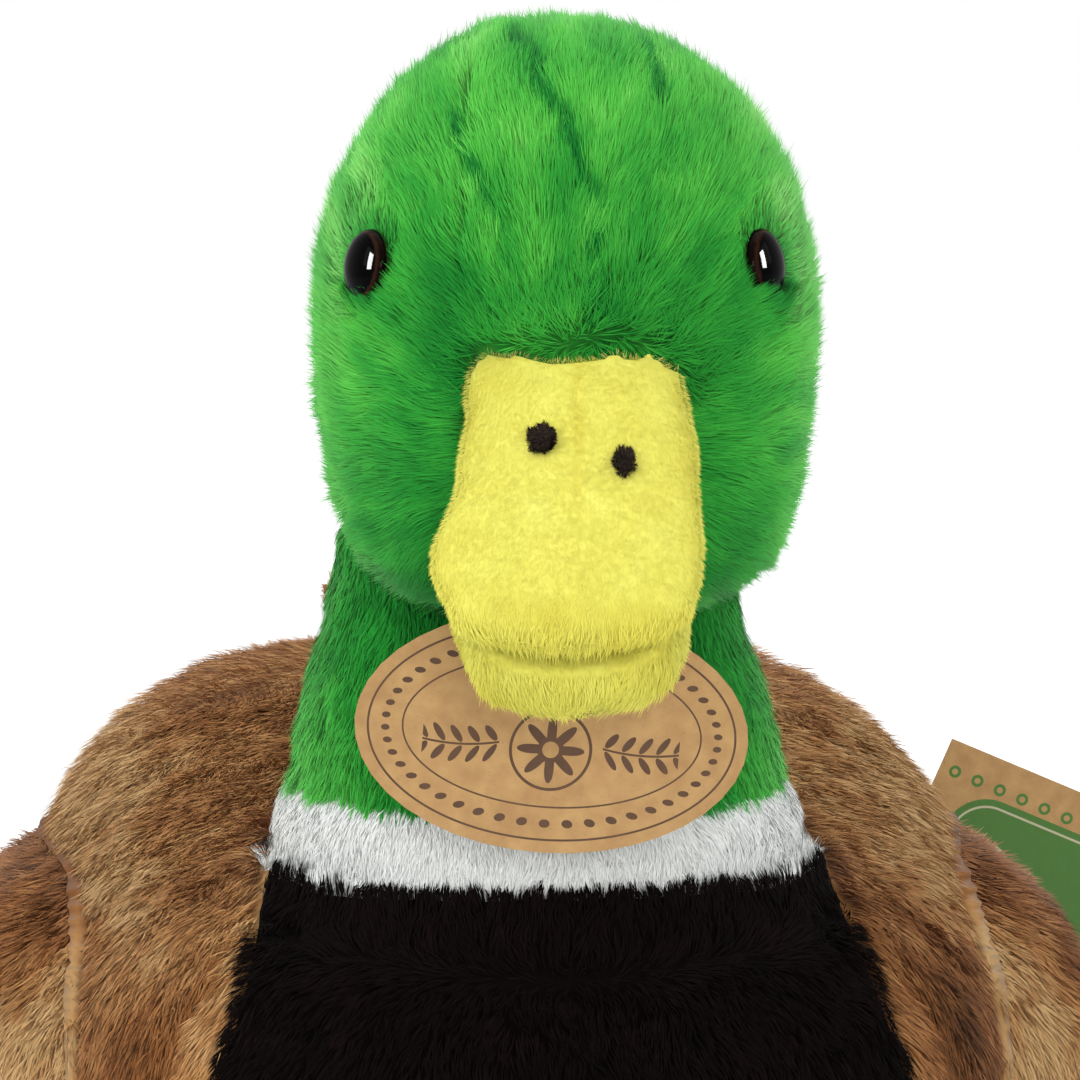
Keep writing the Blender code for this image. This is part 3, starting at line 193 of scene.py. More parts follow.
def scattered(sheet, per_square_mm, seed, thinning=None):
    """Random roots of pile on a sheet, with the way out of it at each."""
    triangles = sheet.calc_loop_triangles()
    corners = np.array([[loop.vert.co[:] for loop in three] for three in triangles])
    normals = np.array([[loop.vert.normal[:] for loop in three] for three in triangles])
    area = np.linalg.norm(np.cross(corners[:, 1] - corners[:, 0],
                                   corners[:, 2] - corners[:, 0]), axis=1) / 2
    if thinning is not None:
        area = area * thinning(corners.mean(axis=1), unit(normals.mean(axis=1)))
    rng = np.random.default_rng(seed)
    count = int(area.sum() * per_square_mm * 1e6)
    chosen = rng.choice(len(area), count, p=area / area.sum())
    first, second = rng.random((2, count))
    over = first + second > 1
    first[over], second[over] = 1 - first[over], 1 - second[over]
    weights = np.stack([1 - first - second, first, second], axis=1)[:, :, None]
    return (corners[chosen] * weights).sum(axis=1), unit((normals[chosen] * weights).sum(axis=1))


def drift(points, size, seed):
    """Smooth noise over points, about -1 to 1, with patches of about that size."""
    rng = np.random.default_rng(seed)
    total = np.zeros(len(points))
    for _ in range(7):
        way = rng.normal(size=3)
        way /= np.linalg.norm(way)
        wave = 2 * math.pi / (size * rng.uniform(0.8, 1.8))
        total += np.sin(points @ way * wave + rng.uniform(0, 2 * math.pi))
    return total / 3.0


def rise(values, low, high):
    """0 below low, 1 above high, and a smooth step between."""
    share = np.clip((values - low) / (high - low), 0.0, 1.0)
    return share * share * (3 - 2 * share)


def tufts_of(roots, share, seed):
    """For each root, the index of the root whose tuft it leans into."""
    rng = np.random.default_rng(seed)
    heads = rng.choice(len(roots), max(1, int(len(roots) * share)), replace=False)
    tree = kdtree.KDTree(len(heads))
    for index, head in enumerate(heads):
        tree.insert(roots[head], index)
    tree.balance()
    return heads[np.array([tree.find(root)[1] for root in roots])]


def laid_pile(roots, outward, comb, length, width, seed, lift=34, droop=16, stray=12,
              tuft_share=0.03, pull=0.45, roll=35, glow=(0.0, 0.0, 0.0)):
    """Strands of pile, each a bent leaf with a point at its root, two half way and one at its
    tip, then the way it faces, which thin pale pile bends towards where it glows. Also a
    tint for each strand, which it shares for the most part with its tuft."""
    rng = np.random.default_rng(seed)
    count = len(roots)
    along = unit(comb - (comb * outward).sum(axis=1, keepdims=True) * outward)
    beside = np.cross(outward, along)
    turn = np.radians(rng.normal(0, stray, count) + 14 * drift(roots, 0.010, seed + 1))[:, None]
    along = along * np.cos(turn) + beside * np.sin(turn)
    up = np.radians(lift + rng.normal(0, 8, count) + 6 * drift(roots, 0.007, seed + 2))[:, None]
    down = up - np.radians(droop)
    size = (length * rng.uniform(0.72, 1.18, count) * np.ones(count))[:, None]
    middle = roots + (along * np.cos(up) + outward * np.sin(up)) * size * 0.5
    tip = middle + (along * np.cos(down) + outward * np.sin(down)) * size * 0.5
    centre = tufts_of(roots, tuft_share, seed + 3)
    lock = tufts_of(roots, tuft_share / 6, seed + 4)
    toward = (tip[centre] - tip) * (pull * rng.uniform(0.4, 1.2, count))[:, None]
    toward += (tip[lock] - tip) * (0.3 * pull * rng.uniform(0.2, 1.2, count))[:, None]
    tip = tip + toward
    middle = middle + toward * 0.35
    run = unit(tip - roots)
    facing = unit(outward + np.array(glow))
    side = unit(np.cross(run, facing))
    rolled = np.radians(rng.uniform(-roll, roll, count))[:, None]
    side = side * np.cos(rolled) + np.cross(run, side) * np.sin(rolled)
    half = (width / 2 * rng.uniform(0.8, 1.2, count) * np.ones(count))[:, None]
    strands = np.stack([middle - side * half, roots, middle + side * half, tip], axis=1)
    tint = rng.normal(0, 0.8, count)[centre] + rng.normal(0, 0.5, count)[lock]
    tint += rng.normal(0, 0.5, count)
    sheen_way = unit(facing + 0.35 * np.cross(side, run) * SOFTNESS + 0.25 * along)
    return np.concatenate([strands, sheen_way[:, None, :]], axis=1), tint


def backed(sheet):
    """A panel's backing cloth: the sheet made into a thin closed solid."""
    shell = sheet.copy()
    shell.normal_update()
    outer = list(shell.verts)
    faces = list(shell.faces)
    rims = [edge for edge in shell.edges if edge.is_boundary]
    inner = {vert: shell.verts.new(vert.co - vert.normal * BACKING) for vert in outer}
    for edge in rims:
        loop = edge.link_loops[0]
        start, end = loop.vert, loop.link_loop_next.vert
        shell.faces.new((end, start, inner[start], inner[end]))
    for face in faces:
        shell.faces.new([inner[vert] for vert in reversed(face.verts)])
    return shell


def furred(name, body, node, shell, strands, tones, base_tone, material, glow=(0.0, 0.0, 0.0)):
    """One furry piece: its backing or stuffed form, and the strands of its pile."""
    shell.verts.index_update()
    rng = np.random.default_rng(len(shell.verts))
    base = np.array([vert.co[:] for vert in shell.verts])
    base_faces = [[vert.index for vert in face.verts] for face in shell.faces]
    shell.normal_update()
    base_facing = unit(np.array([vert.normal[:] for vert in shell.verts]) + np.array(glow))
    shell.free()
    count = len(strands)
    facing = np.repeat(strands[:, 4], 4, axis=0)
    strands = strands[:, :4]
    level = np.round(np.clip(tones, 0.02, 0.98) * PILE_LEVELS) / PILE_LEVELS
    half = 0.35 / PILE_LEVELS
    tone = np.concatenate([
        np.clip(base_tone(base) + rng.uniform(-half, half, len(base)), 0.0, 1.0),
        (level[:, None] + np.array([-half, half, half, -half])).ravel()])
    # The backing sits at root height, so it takes the pile's painted root shade too.
    height = np.concatenate([rng.uniform(0.02, 0.12, len(base)), np.tile([0.5, 0.0, 0.5, 1.0], count)])
    points = np.concatenate([base, strands.reshape(-1, 3)])
    starts = len(base) + 4 * np.arange(count)
    pile_loops = (starts[:, None] + np.array([0, 1, 2, 0, 2, 3])).ravel()
    base_loops = np.array([index for face in base_faces for index in face])
    loops = np.concatenate([base_loops, pile_loops]).astype(np.int32)
    sizes = np.concatenate([[len(face) for face in base_faces], np.full(2 * count, 3)])
    first_loops = np.concatenate([[0], np.cumsum(sizes)[:-1]]).astype(np.int32)
    mesh = bpy.data.meshes.new(name)
    mesh.vertices.add(len(points))
    mesh.vertices.foreach_set("co", points.astype(np.float32).ravel())
    mesh.loops.add(len(loops))
    mesh.loops.foreach_set("vertex_index", loops)
    mesh.polygons.add(len(sizes))
    mesh.polygons.foreach_set("loop_start", first_loops)
    mesh.polygons.foreach_set("use_smooth", np.ones(len(sizes), dtype=bool))
    for label, values in (("pile_tone", tone), ("pile_height", height)):
        held = mesh.attributes.new(label, "FLOAT", "POINT")
        held.data.foreach_set("value", values.astype(np.float32))
    chart = mesh.uv_layers.new(name="OFBake")
    places = np.stack([tone[loops], height[loops]], axis=1).astype(np.float32)
    chart.uv.foreach_set("vector", places.ravel())
    mesh.update(calc_edges=True)
    mesh.normals_split_custom_set_from_vertices(np.concatenate([base_facing, facing]))
    mesh.materials.append(material)
    piece = bpy.data.objects.new(name, mesh)
    bpy.context.scene.collection.objects.link(piece)
    if body:
        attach(piece, body)
    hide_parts(node)
    return piece


def pile_material(name, shades, root_shade=0.45, sheen=0.15, shine=0.12):
    """Dyed pile: a run of shades for its patches, with painted shade that darkens it down at the roots.
    """
    material = bpy.data.materials.new(name)
    material.use_nodes = True
    nodes, links = material.node_tree.nodes, material.node_tree.links
    shader = nodes["Principled BSDF"]
    shader.inputs["Roughness"].default_value = 0.85
    shader.inputs["Specular IOR Level"].default_value = shine
    shader.inputs["Sheen Weight"].default_value = sheen
    shader.inputs["Sheen Roughness"].default_value = 0.45
    tone = nodes.new("ShaderNodeAttribute")
    tone.attribute_name = "pile_tone"
    dye = nodes.new("ShaderNodeValToRGB")
    ramp = dye.color_ramp.elements
    while len(ramp) < len(shades):
        ramp.new(0.5)
    for stop, (place, colour) in zip(ramp, shades):
        stop.position = place
        stop.color = (*colour, 1.0)
    links.new(tone.outputs["Fac"], dye.inputs["Fac"])
    # Painted shade: the pile's colour is multiplied down towards its roots, for the shade deep in the
    # pile.
    height = nodes.new("ShaderNodeAttribute")
    height.attribute_name = "pile_height"
    painted_shade = nodes.new("ShaderNodeValToRGB")
    painted_shade.color_ramp.elements[0].color = (root_shade, root_shade, root_shade, 1.0)
    painted_shade.color_ramp.elements[1].position = 0.7
    links.new(height.outputs["Fac"], painted_shade.inputs["Fac"])
    blend = nodes.new("ShaderNodeMix")
    blend.data_type = "RGBA"
    blend.blend_type = "MULTIPLY"
    blend.inputs["Factor"].default_value = 1.0
    links.new(dye.outputs["Color"], blend.inputs["A"])
    links.new(painted_shade.outputs["Color"], blend.inputs["B"])
    links.new(blend.outputs["Result"], shader.inputs["Base Color"])
    return material


def tree_of(names):
    """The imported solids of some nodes, for measuring distances to them."""
    solids = copied_solids(names)
    tree = BVHTree.FromBMesh(solids)
    solids.free()
    return tree


def distances(tree, points, far=0.02):
    """How far each point is from the nearest surface of a tree."""
    found = [tree.find_nearest(Vector(point), far)[3] for point in points]
    return np.array([far if distance is None else distance for distance in found])


NECK_Y = -0.052
BELLY_SEAM = 0.0213
BIB_BACK = -0.0537
BIB_TOP_HALF, BIB_TOP_Z = 0.042, 0.101
BIB_SPREAD = 0.3383
FLANK_SEAM, FLANK_SLOPE = 0.080, math.tan(math.radians(16))
COLLAR_LOW = (Vector((0.0, NECK_Y, 0.0968)), Vector((0.0, 0.115, 1.0)).normalized())
COLLAR_HIGH = (Vector((0.0, NECK_Y, 0.1132)), Vector((0.0, 0.02, 1.0)).normalized())
NECK_FLARE, COLLAR_FLARE = 0.0450, 0.0420
SHOULDER_PUFF = 0.0016

torso_skin = stuffed_form(["belly_panel", "chest_panel", "back_panel", "flank_left", "flank_right",
                           "torso_stuffing", "bean_bag", "collar", "neck_cover", "neck_stuffing"],
                          0.0028, 8, 0.0006)
for vert in torso_skin.verts:
    reach = math.hypot(vert.co.x, vert.co.y - NECK_Y)
    if vert.co.z > 0.100 and reach < NECK_FLARE:
        loose = rise(vert.co.z, 0.099, 0.107) * (1 - 0.55 * rise(vert.co.z, 0.117, 0.130))
        slack = rise(vert.co.z, 0.114, 0.132)
        tucked = rise(vert.co.z, 0.137, 0.146)
        right = rise(-vert.co.x / reach, 0.2, 0.9)
        left = rise(vert.co.x / reach, 0.3, 0.9)
        fuller = (0.0006 * left + 0.0021 * right) * loose
        vert.co -= vert.normal * (0.0018 - fuller) * (1 - rise(reach, 0.041, NECK_FLARE))
        vert.co.x *= 1 - 0.18 * tucked * (1 - right) * (1 - left)
        vert.co.y = NECK_Y + (vert.co.y - NECK_Y) * (1 - 0.18 * tucked)
        vert.co.x += (0.0010 * left - 0.0030 * right) * slack
        vert.co.z += 0.0075 * tucked
    elif vert.co.z > 0.080:
        vert.co += (vert.normal * SHOULDER_PUFF * rise(abs(vert.co.x), 0.022, 0.045)
                    * rise(vert.co.z, 0.080, 0.100))
torso_skin.normal_update()
cut_seam(torso_skin, Vector((0, 0, BELLY_SEAM)), Vector((0, 0, 1)))
cut_seam(torso_skin, Vector((0, BIB_BACK, 0)), Vector((0, 1, 0)))
for side in (-1, 1):
    cut_seam(torso_skin, Vector((side * BIB_TOP_HALF, 0, BIB_TOP_Z)),
             Vector((side, 0, BIB_SPREAD)).normalized())
cut_seam(torso_skin, Vector((0, 0, FLANK_SEAM)), Vector((0, FLANK_SLOPE, 1)).normalized())
cut_seam(torso_skin, *COLLAR_LOW)
cut_seam(torso_skin, *COLLAR_HIGH)
cut_seam(torso_skin, Vector((0, 0, 0)), Vector((1, 0, 0)))


def bib_margin(points):
    """How far out of the bib's side seam each point is."""
    return np.abs(points[:, 0]) - BIB_TOP_HALF - (BIB_TOP_Z - points[:, 2]) * BIB_SPREAD


def above(plane, point):
    """Whether a point lies over a seam's plane."""
    return (point - plane[0]).dot(plane[1]) > 0


def torso_zone(face):
    """Which panel of the torso's cover a face belongs to."""
    point = face.calc_center_median()
    reach = math.hypot(point.x, point.y - NECK_Y)
    if reach < NECK_FLARE and above(COLLAR_HIGH, point):
        return "neck"
    if reach < COLLAR_FLARE and above(COLLAR_LOW, point):
        return "collar"
    if point.z < BELLY_SEAM:
        return "belly"
    if point.y < BIB_BACK and bib_margin(np.array([point[:]]))[0] < 0:
        return "bib"
    if point.z + point.y * FLANK_SLOPE > FLANK_SEAM:
        return "back_left" if point.x > 0 else "back_right"
    return "flank_left" if point.x > 0 else "flank_right"


def strip_share(points):
    """1 in the pale strip beside the bib, 0 away from it."""
    wide = 0.0012 + 0.0052 * (1 - rise(points[:, 2], 0.066, 0.100))
    near = 1 - rise(bib_margin(points) / wide, 0.75, 1.25)
    return near * (1 - rise(points[:, 1], -0.050, -0.040))


def mantle_tone_and_painted_light(points):
    """Patches of the brown mantle, paler out at the sides, and the pale strip, with painted light over
    the tops of the shoulders and painted shade round the foot of the neck and low down beside the strip.
    """
    reach = np.hypot(points[:, 0], points[:, 1] - NECK_Y)
    tone = 0.54 + 0.07 * drift(points, 0.018, 21) + 0.05 * drift(points, 0.007, 22)
    # Painted light on the tops of the shoulders, stronger on the duck's left.
    tone += np.where(points[:, 0] > 0, 0.27, 0.18) * rise(points[:, 2], 0.080, 0.102)
    # Painted shade round the foot of the neck, under the head.
    tone -= 0.12 * (1 - rise(reach, 0.041, 0.052)) * rise(points[:, 2], 0.095, 0.108)
    # Painted shade low down in the hollow beside the strip, deeper on the duck's left.
    low = np.where(points[:, 0] > 0, 1 - rise(points[:, 2], 0.076, 0.096),
                   1 - rise(points[:, 2], 0.070, 0.090))
    middle = np.where(points[:, 0] > 0, 0.010, 0.014)
    beside = np.exp(-((bib_margin(points) - middle) / 0.009) ** 2) * (points[:, 1] < -0.02)
    tone -= np.where(points[:, 0] > 0, 0.54, 0.34) * beside * low
    tone += 0.32 * rise(np.abs(points[:, 0]), 0.048, 0.064) * rise(points[:, 2], 0.040, 0.070)
    strip = strip_share(points)
    pale = np.where(points[:, 0] > 0, 0.58, 0.82) + 0.06 * drift(points, 0.005, 23)
    return tone * (1 - strip) + pale * strip


def mantle_comb(points, outward, side):
    """Which way the mantle's pile is brushed: forward and down in front, outward in the pale
    strip, and to the tail behind."""
    behind = rise(points[:, 1], 0.025, 0.070)
    level = rise(outward[:, 2], 0.5, 0.9)
    strip = strip_share(points)
    beside_spine = np.tanh(points[:, 0] / 0.015)
    across = (0.35 * np.sin(behind * math.pi) + (0.45 * level - 0.60 * (1 - level)) * (1 - behind))
    across *= beside_spine
    across = across * (1 - strip) + 0.6 * side * strip
    ahead = (-0.15 - 0.55 * level) * (1 - behind) + 0.80 * behind
    return np.stack([across, ahead, -1.0 + 0.6 * level], axis=1)


def front_first(points, normals):
    """Denser pile where the toy is seen from in front."""
    return np.where(points[:, 1] < 0.020, 1.0, 0.30)


BROWN_SHADES = [(0.0, (0.070, 0.024, 0.006)), (0.3, (0.180, 0.065, 0.015)),
                (0.55, (0.330, 0.126, 0.036)), (0.8, (0.550, 0.276, 0.098)),
                (1.0, (0.680, 0.440, 0.200))]
mantle_pile = pile_material("mantle_pile", BROWN_SHADES, root_shade=0.72)
bib_pile = pile_material("bib_pile", [(0.0, (0.0025, 0.0016, 0.0015)), (1.0, (0.008, 0.0045, 0.0040))],
                         root_shade=0.6, sheen=0.0, shine=0.05)
collar_pile = pile_material("collar_pile", [(0.0, (0.80, 0.83, 0.80)), (1.0, (0.94, 0.95, 0.93))],
                            root_shade=0.92, sheen=0.1)
neck_pile = pile_material("neck_pile", [(0.0, (0.002, 0.150, 0.015)), (0.5, (0.022, 0.370, 0.036)),
                                        (1.0, (0.120, 0.660, 0.085))])
wing_tree = tree_of(["wing_left_cover", "wing_left_lining", "wing_right_cover", "wing_right_lining"])

for side_name, side in (("left", 1), ("right", -1)):
    sheet = panel_of(torso_skin, lambda face: torso_zone(face) == f"back_{side_name}")
    roots, outward = scattered(sheet, 8.4, 100 + side, front_first)
    free = 0.65 + 0.35 * rise(distances(wing_tree, roots), 0.0010, 0.0050)
    strands, tint = laid_pile(roots, outward, mantle_comb(roots, outward, side), 0.0054 * free, 0.00021,
                              110 + side, lift=12 + 16 * free, stray=12, pull=0.22)
    furred(f"back_{side_name}_cover", "torso", "back_panel", backed(sheet), strands,
           mantle_tone_and_painted_light(roots) + 0.06 * tint, mantle_tone_and_painted_light, mantle_pile)

    sheet = panel_of(torso_skin, lambda face: torso_zone(face) == f"flank_{side_name}")
    roots, outward = scattered(sheet, 5.6, 130 + side,
                               lambda points, normals: np.where(points[:, 1] < -0.030, 1.0, 0.20))
    free = 0.50 + 0.50 * rise(distances(wing_tree, roots), 0.0015, 0.0060)
    strands, tint = laid_pile(roots, outward, mantle_comb(roots, outward, side), 0.0054 * free, 0.00024,
                              140 + side, lift=12 + 16 * free, stray=12, pull=0.22)
    furred(f"flank_{side_name}_cover", "torso", f"flank_{side_name}", backed(sheet), strands,
           mantle_tone_and_painted_light(roots) + 0.06 * tint, mantle_tone_and_painted_light, mantle_pile)

sheet = panel_of(torso_skin, lambda face: torso_zone(face) == "belly")
roots, outward = scattered(sheet, 0.8, 160)
free = roots[:, 2] > 0.0045
roots, outward = roots[free], outward[free]
comb = np.stack([roots[:, 0] * 0.3, np.full(len(roots), 0.03), np.full(len(roots), -0.03)], axis=1)
strands, tint = laid_pile(roots, outward, comb, 0.0046, 0.00040, 161, lift=25, droop=8)
strands[:, :4, 2] = np.maximum(strands[:, :4, 2], 0.0002)
furred("belly_cover", "torso", "belly_panel", backed(sheet), strands,
       mantle_tone_and_painted_light(roots) + 0.1 + 0.06 * tint, mantle_tone_and_painted_light, mantle_pile)

sheet = panel_of(torso_skin, lambda face: torso_zone(face) == "bib")
roots, outward = scattered(sheet, 5.2, 170)
comb = np.stack([roots[:, 0] * 0.3, np.full(len(roots), -0.01), (roots[:, 2] - 0.089) * 5.0], axis=1)
over_collar = rise(roots[:, 2], 0.092, 0.096)
strands, tint = laid_pile(roots, outward, comb, 0.0050 - 0.0006 * over_collar, 0.00026, 171,
                          lift=36 - 8 * over_collar)
furred("bib_cover", "torso", "chest_panel", backed(sheet), strands, 0.45 + 0.15 * tint,
       lambda p: np.full(len(p), 0.3), bib_pile)

sheet = panel_of(torso_skin, lambda face: torso_zone(face) == "collar")
roots, outward = scattered(sheet, 14.5, 180,
                           lambda points, normals: np.where(points[:, 1] < -0.030, 1.0, 0.5))
comb = np.stack([roots[:, 0] * 0.1, (roots[:, 1] - NECK_Y) * 0.1,
                 0.05 - 0.09 * rise(roots[:, 2], 0.1010, 0.1070)], axis=1)
outward = unit(outward * np.array([1.0, 1.0, 0.4]))
strands, tint = laid_pile(roots, outward, comb, 0.0030, 0.00018, 181, lift=24, stray=14, pull=0.12,
                          roll=50)
furred("collar_cover", "torso", "collar", backed(sheet), strands, 0.6 + 0.10 * tint,
       lambda p: np.full(len(p), 0.6), collar_pile)


def neck_tone_and_painted_light(points):
    """Painted light at the neck's sides where light reaches it, stronger low down, and painted shade down
    its middle below the bill, with random patches.
    """
    side = np.abs(points[:, 0]) / 0.036
    low = 1 - rise(points[:, 2], 0.114, 0.134)
    tone = 0.15 + 0.48 * rise(side, 0.45, 1.0) + 0.05 * drift(points, 0.008, 31)
    return tone + 0.25 * low * rise(side, 0.35, 0.9)


sheet = panel_of(torso_skin, lambda face: torso_zone(face) == "neck")
torso_skin.free()
roots, outward = scattered(sheet, 12.0, 190,
                           lambda points, normals: np.where(points[:, 1] < -0.045, 1.0, 0.35))
free = outward[:, 2] < 0.75
roots, outward = roots[free], outward[free]
comb = np.tile(np.array([0.0, 0.0, -1.0]), (len(roots), 1))
outward = unit(outward * np.array([1.0, 1.0, 0.5]))
top = rise(roots[:, 2], 0.140, 0.150)
strands, tint = laid_pile(roots, outward, comb, 0.0046 - 0.0018 * top, 0.00018, 191, lift=25 - 10 * top,
                          pull=0.18)
neck = furred("neck_tube", None, "neck_cover", backed(sheet), strands,
              neck_tone_and_painted_light(roots) + 0.045 * tint, neck_tone_and_painted_light, neck_pile)
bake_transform(neck)

# Fillings: loose polyester fibre blown into the torso, neck and head, and a cotton
# bag of plastic pellets low in the torso, which weighs it down. None of it shows
# from outside: each is a soft lump that its cover shapes.


def grained(name, low, high, grain, roughness, relief, stretch=(1.0, 1.0, 1.0)):
    """A matt material of two close shades with a fine grain, in colour, gloss and relief."""
    material = bpy.data.materials.new(name)
    material.use_nodes = True
    nodes, links = material.node_tree.nodes, material.node_tree.links
    shader = nodes["Principled BSDF"]
    places = nodes.new("ShaderNodeTexCoord")
    mapping = nodes.new("ShaderNodeMapping")
    mapping.inputs["Scale"].default_value = stretch
    links.new(places.outputs["Object"], mapping.inputs["Vector"])
    noise = nodes.new("ShaderNodeTexNoise")
    noise.inputs["Scale"].default_value = 1.0 / grain
    noise.inputs["Detail"].default_value = 4.0
    links.new(mapping.outputs["Vector"], noise.inputs["Vector"])
    dye = nodes.new("ShaderNodeValToRGB")
    dye.color_ramp.elements[0].position = 0.3
    dye.color_ramp.elements[0].color = (*low, 1.0)
    dye.color_ramp.elements[1].position = 0.7
    dye.color_ramp.elements[1].color = (*high, 1.0)
    links.new(noise.outputs["Fac"], dye.inputs["Fac"])
    links.new(dye.outputs["Color"], shader.inputs["Base Color"])
    gloss = nodes.new("ShaderNodeMapRange")
    gloss.inputs["To Min"].default_value = roughness - 0.08
    gloss.inputs["To Max"].default_value = roughness + 0.08
    links.new(noise.outputs["Fac"], gloss.inputs["Value"])
    links.new(gloss.outputs["Result"], shader.inputs["Roughness"])
    bump = nodes.new("ShaderNodeBump")
    bump.inputs["Strength"].default_value = relief
    bump.inputs["Distance"].default_value = grain / 2
    links.new(noise.outputs["Fac"], bump.inputs["Height"])
    links.new(bump.outputs["Normal"], shader.inputs["Normal"])
    return material


def woven(name, low, high, pitch, relief):
    """Cloth with two crossing sets of yarns."""
    material = grained(name, low, high, pitch * 3, 0.85, relief)
    nodes, links = material.node_tree.nodes, material.node_tree.links
    bump = nodes["Bump"]
    yarns = []
    for direction in ("X", "Z"):
        wave = nodes.new("ShaderNodeTexWave")
        wave.bands_direction = direction
        wave.inputs["Scale"].default_value = 1.0 / pitch / 20
        wave.inputs["Distortion"].default_value = 0.6
        wave.inputs["Detail Scale"].default_value = 2.0
        links.new(nodes["Mapping"].outputs["Vector"], wave.inputs["Vector"])
        yarns.append(wave)
    both = nodes.new("ShaderNodeMath")
    both.operation = "MAXIMUM"
    links.new(yarns[0].outputs["Fac"], both.inputs[0])
    links.new(yarns[1].outputs["Fac"], both.inputs[1])
    links.new(both.outputs[0], bump.inputs["Height"])
    return material


def plain_piece(name, body, node, form, material):
    """One smooth piece without pile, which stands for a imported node."""
    bmesh.ops.recalc_face_normals(form, faces=form.faces)
    for face in form.faces:
        face.smooth = True
    mesh = bpy.data.meshes.new(name)
    form.to_mesh(mesh)
    form.free()
    mesh.materials.append(material)
    piece = bpy.data.objects.new(name, mesh)
    bpy.context.scene.collection.objects.link(piece)
    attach(piece, body)
    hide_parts(node)
    return piece


def dressed(node, material):
    """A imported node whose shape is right, in a finer material."""
    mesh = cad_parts[node].data
    mesh.materials.clear()
    mesh.materials.append(material)


fibre_fill = grained("fibre_fill", (0.62, 0.62, 0.60), (0.85, 0.85, 0.83), 0.004, 0.9, 0.8)
for name, body, node, voxel in (("torso_filling", "torso", "torso_stuffing", 0.0040),
                                ("neck_filling", "torso", "neck_stuffing", 0.0030),
                                ("head_filling", "head", "head_stuffing", 0.0035)):
    filling = stuffed_form([node], voxel, 4, 0.0022)
    piece = plain_piece(name, body, node, filling, fibre_fill)
bag_cloth = woven("bag_cloth", (0.55, 0.52, 0.46), (0.70, 0.67, 0.60), 0.0005, 0.4)
piece = plain_piece("pellet_bag", "torso", "bean_bag",
                    stuffed_form(["bean_bag"], 0.0030, 4, 0.0003), bag_cloth)

# Head cover: two side panels and the strip between them in green pile fabric,
# sewn with the pile side in, turned out and stuffed hard. The pile is brushed
# away from the bill, and parts along the strip's seams.
HEAD_TURN = Matrix.Rotation(math.radians(-4), 4, "Z")
STRIP_MIDDLE, STRIP_HALF = 0.0025, 0.0136
BILL_ROOT = Vector((0.0012, -0.0960, 0.1705))
BILL_TURN = Matrix(((-0.98966, -0.09049, -0.11129, 0.00123), (0.13916, -0.79377, -0.59208, -0.09168),
                    (-0.03476, -0.60145, 0.79816, 0.18200), (0.0, 0.0, 0.0, 1.0)))
EYES = {"left": (Vector((0.02955, -0.08948, 0.1935)), Vector((0.8104, -0.5620, 0.1653))),
        "right": (Vector((-0.02949, -0.08535, 0.1935)), Vector((-0.8659, -0.4718, 0.1661)))}

head_skin = stuffed_form(["head_side_left", "head_side_right", "head_gusset", "head_stuffing"],
                         0.0026, 8, 0.0021)
for vert in head_skin.verts:
    vert.co.x += 0.0014 * rise(vert.co.x, 0.005, 0.030)
head_skin.normal_update()
seam_across = (HEAD_TURN @ Vector((1, 0, 0))).normalized()
for edge in (-STRIP_HALF, STRIP_HALF):
    cut_seam(head_skin, Vector((0, NECK_Y, 0)) + seam_across * (STRIP_MIDDLE + edge), seam_across)
for place, outward_way in EYES.values():
    for vert in head_skin.verts:
        near = (vert.co - place).length
        if near < 0.013:
            vert.co += outward_way * 0.0009 * rise(0.013 - near, 0.0, 0.006)
bill_tree = tree_of(["bill_upper", "bill_lower"])


def head_place(face):
    """How far to the duck's left of the head strip's middle a face lies."""
    off = face.calc_center_median() - Vector((0, NECK_Y, 0))
    return off.dot(seam_across) - STRIP_MIDDLE


def on_bill(points):
    """Points as the bill measures them: across it, out towards its tip, and up from it."""
    return (points - np.array(BILL_TURN.to_translation())) @ np.array(BILL_TURN.to_3x3())


def clear_of_bill(roots, outward):
    """Which roots aren't under the bill, or under the corner where it is sewn in high."""
    across, out, up = on_bill(roots).T
    free = ~((across > 0.004) & (across < 0.0140) & (out > 0.0064) & (up < 0.0086) & (up > 0.0))
    for index, (root, way) in enumerate(zip(roots, outward)):
        place, normal, _, reach = bill_tree.ray_cast(Vector(root), Vector(way), 0.03)
        if place is not None:
            free[index] &= normal.dot(Vector(way)) < 0 and reach > 0.0040
    return free


def head_tone_and_painted_light(points):
    """Random patches and streaks of the green pile, with painted light bright over the crown and at the
    sides, and painted shade beside the bill and below it.
    """
    local = points - np.array([0.0025, -0.062, 0.184])
    off = points - np.array(BILL_ROOT)
    from_bill = np.linalg.norm(off, axis=1)
    spoke = np.arctan2(off[:, 0], off[:, 2] + 0.004)
    streaks = drift(np.stack([spoke * 0.030, from_bill * 0.22, np.zeros(len(off))], axis=1), 0.0034, 44)
    tone = 0.54 + 0.06 * drift(points, 0.016, 41) + 0.04 * drift(points, 0.006, 42) + 0.08 * streaks
    # Painted light: brighter up over the crown, and brighter at the head's sides for a painted rim sheen.
    tone += 0.16 * rise(local[:, 2], -0.002, 0.030)
    tone += 0.23 * rise(np.abs(local[:, 0] + 0.003), 0.020, 0.033)
    # Painted shade under the head below the bill, and beside the bill on the duck's left.
    under = 1 - rise(points[:, 2], 0.148, 0.176)
    tone -= 0.14 * under * (1 - rise(np.abs(local[:, 0]), 0.024, 0.036))
    tone -= 0.06 * (1 - rise(from_bill, 0.024, 0.040)) * rise(local[:, 0], 0.0, 0.010)
    return tone


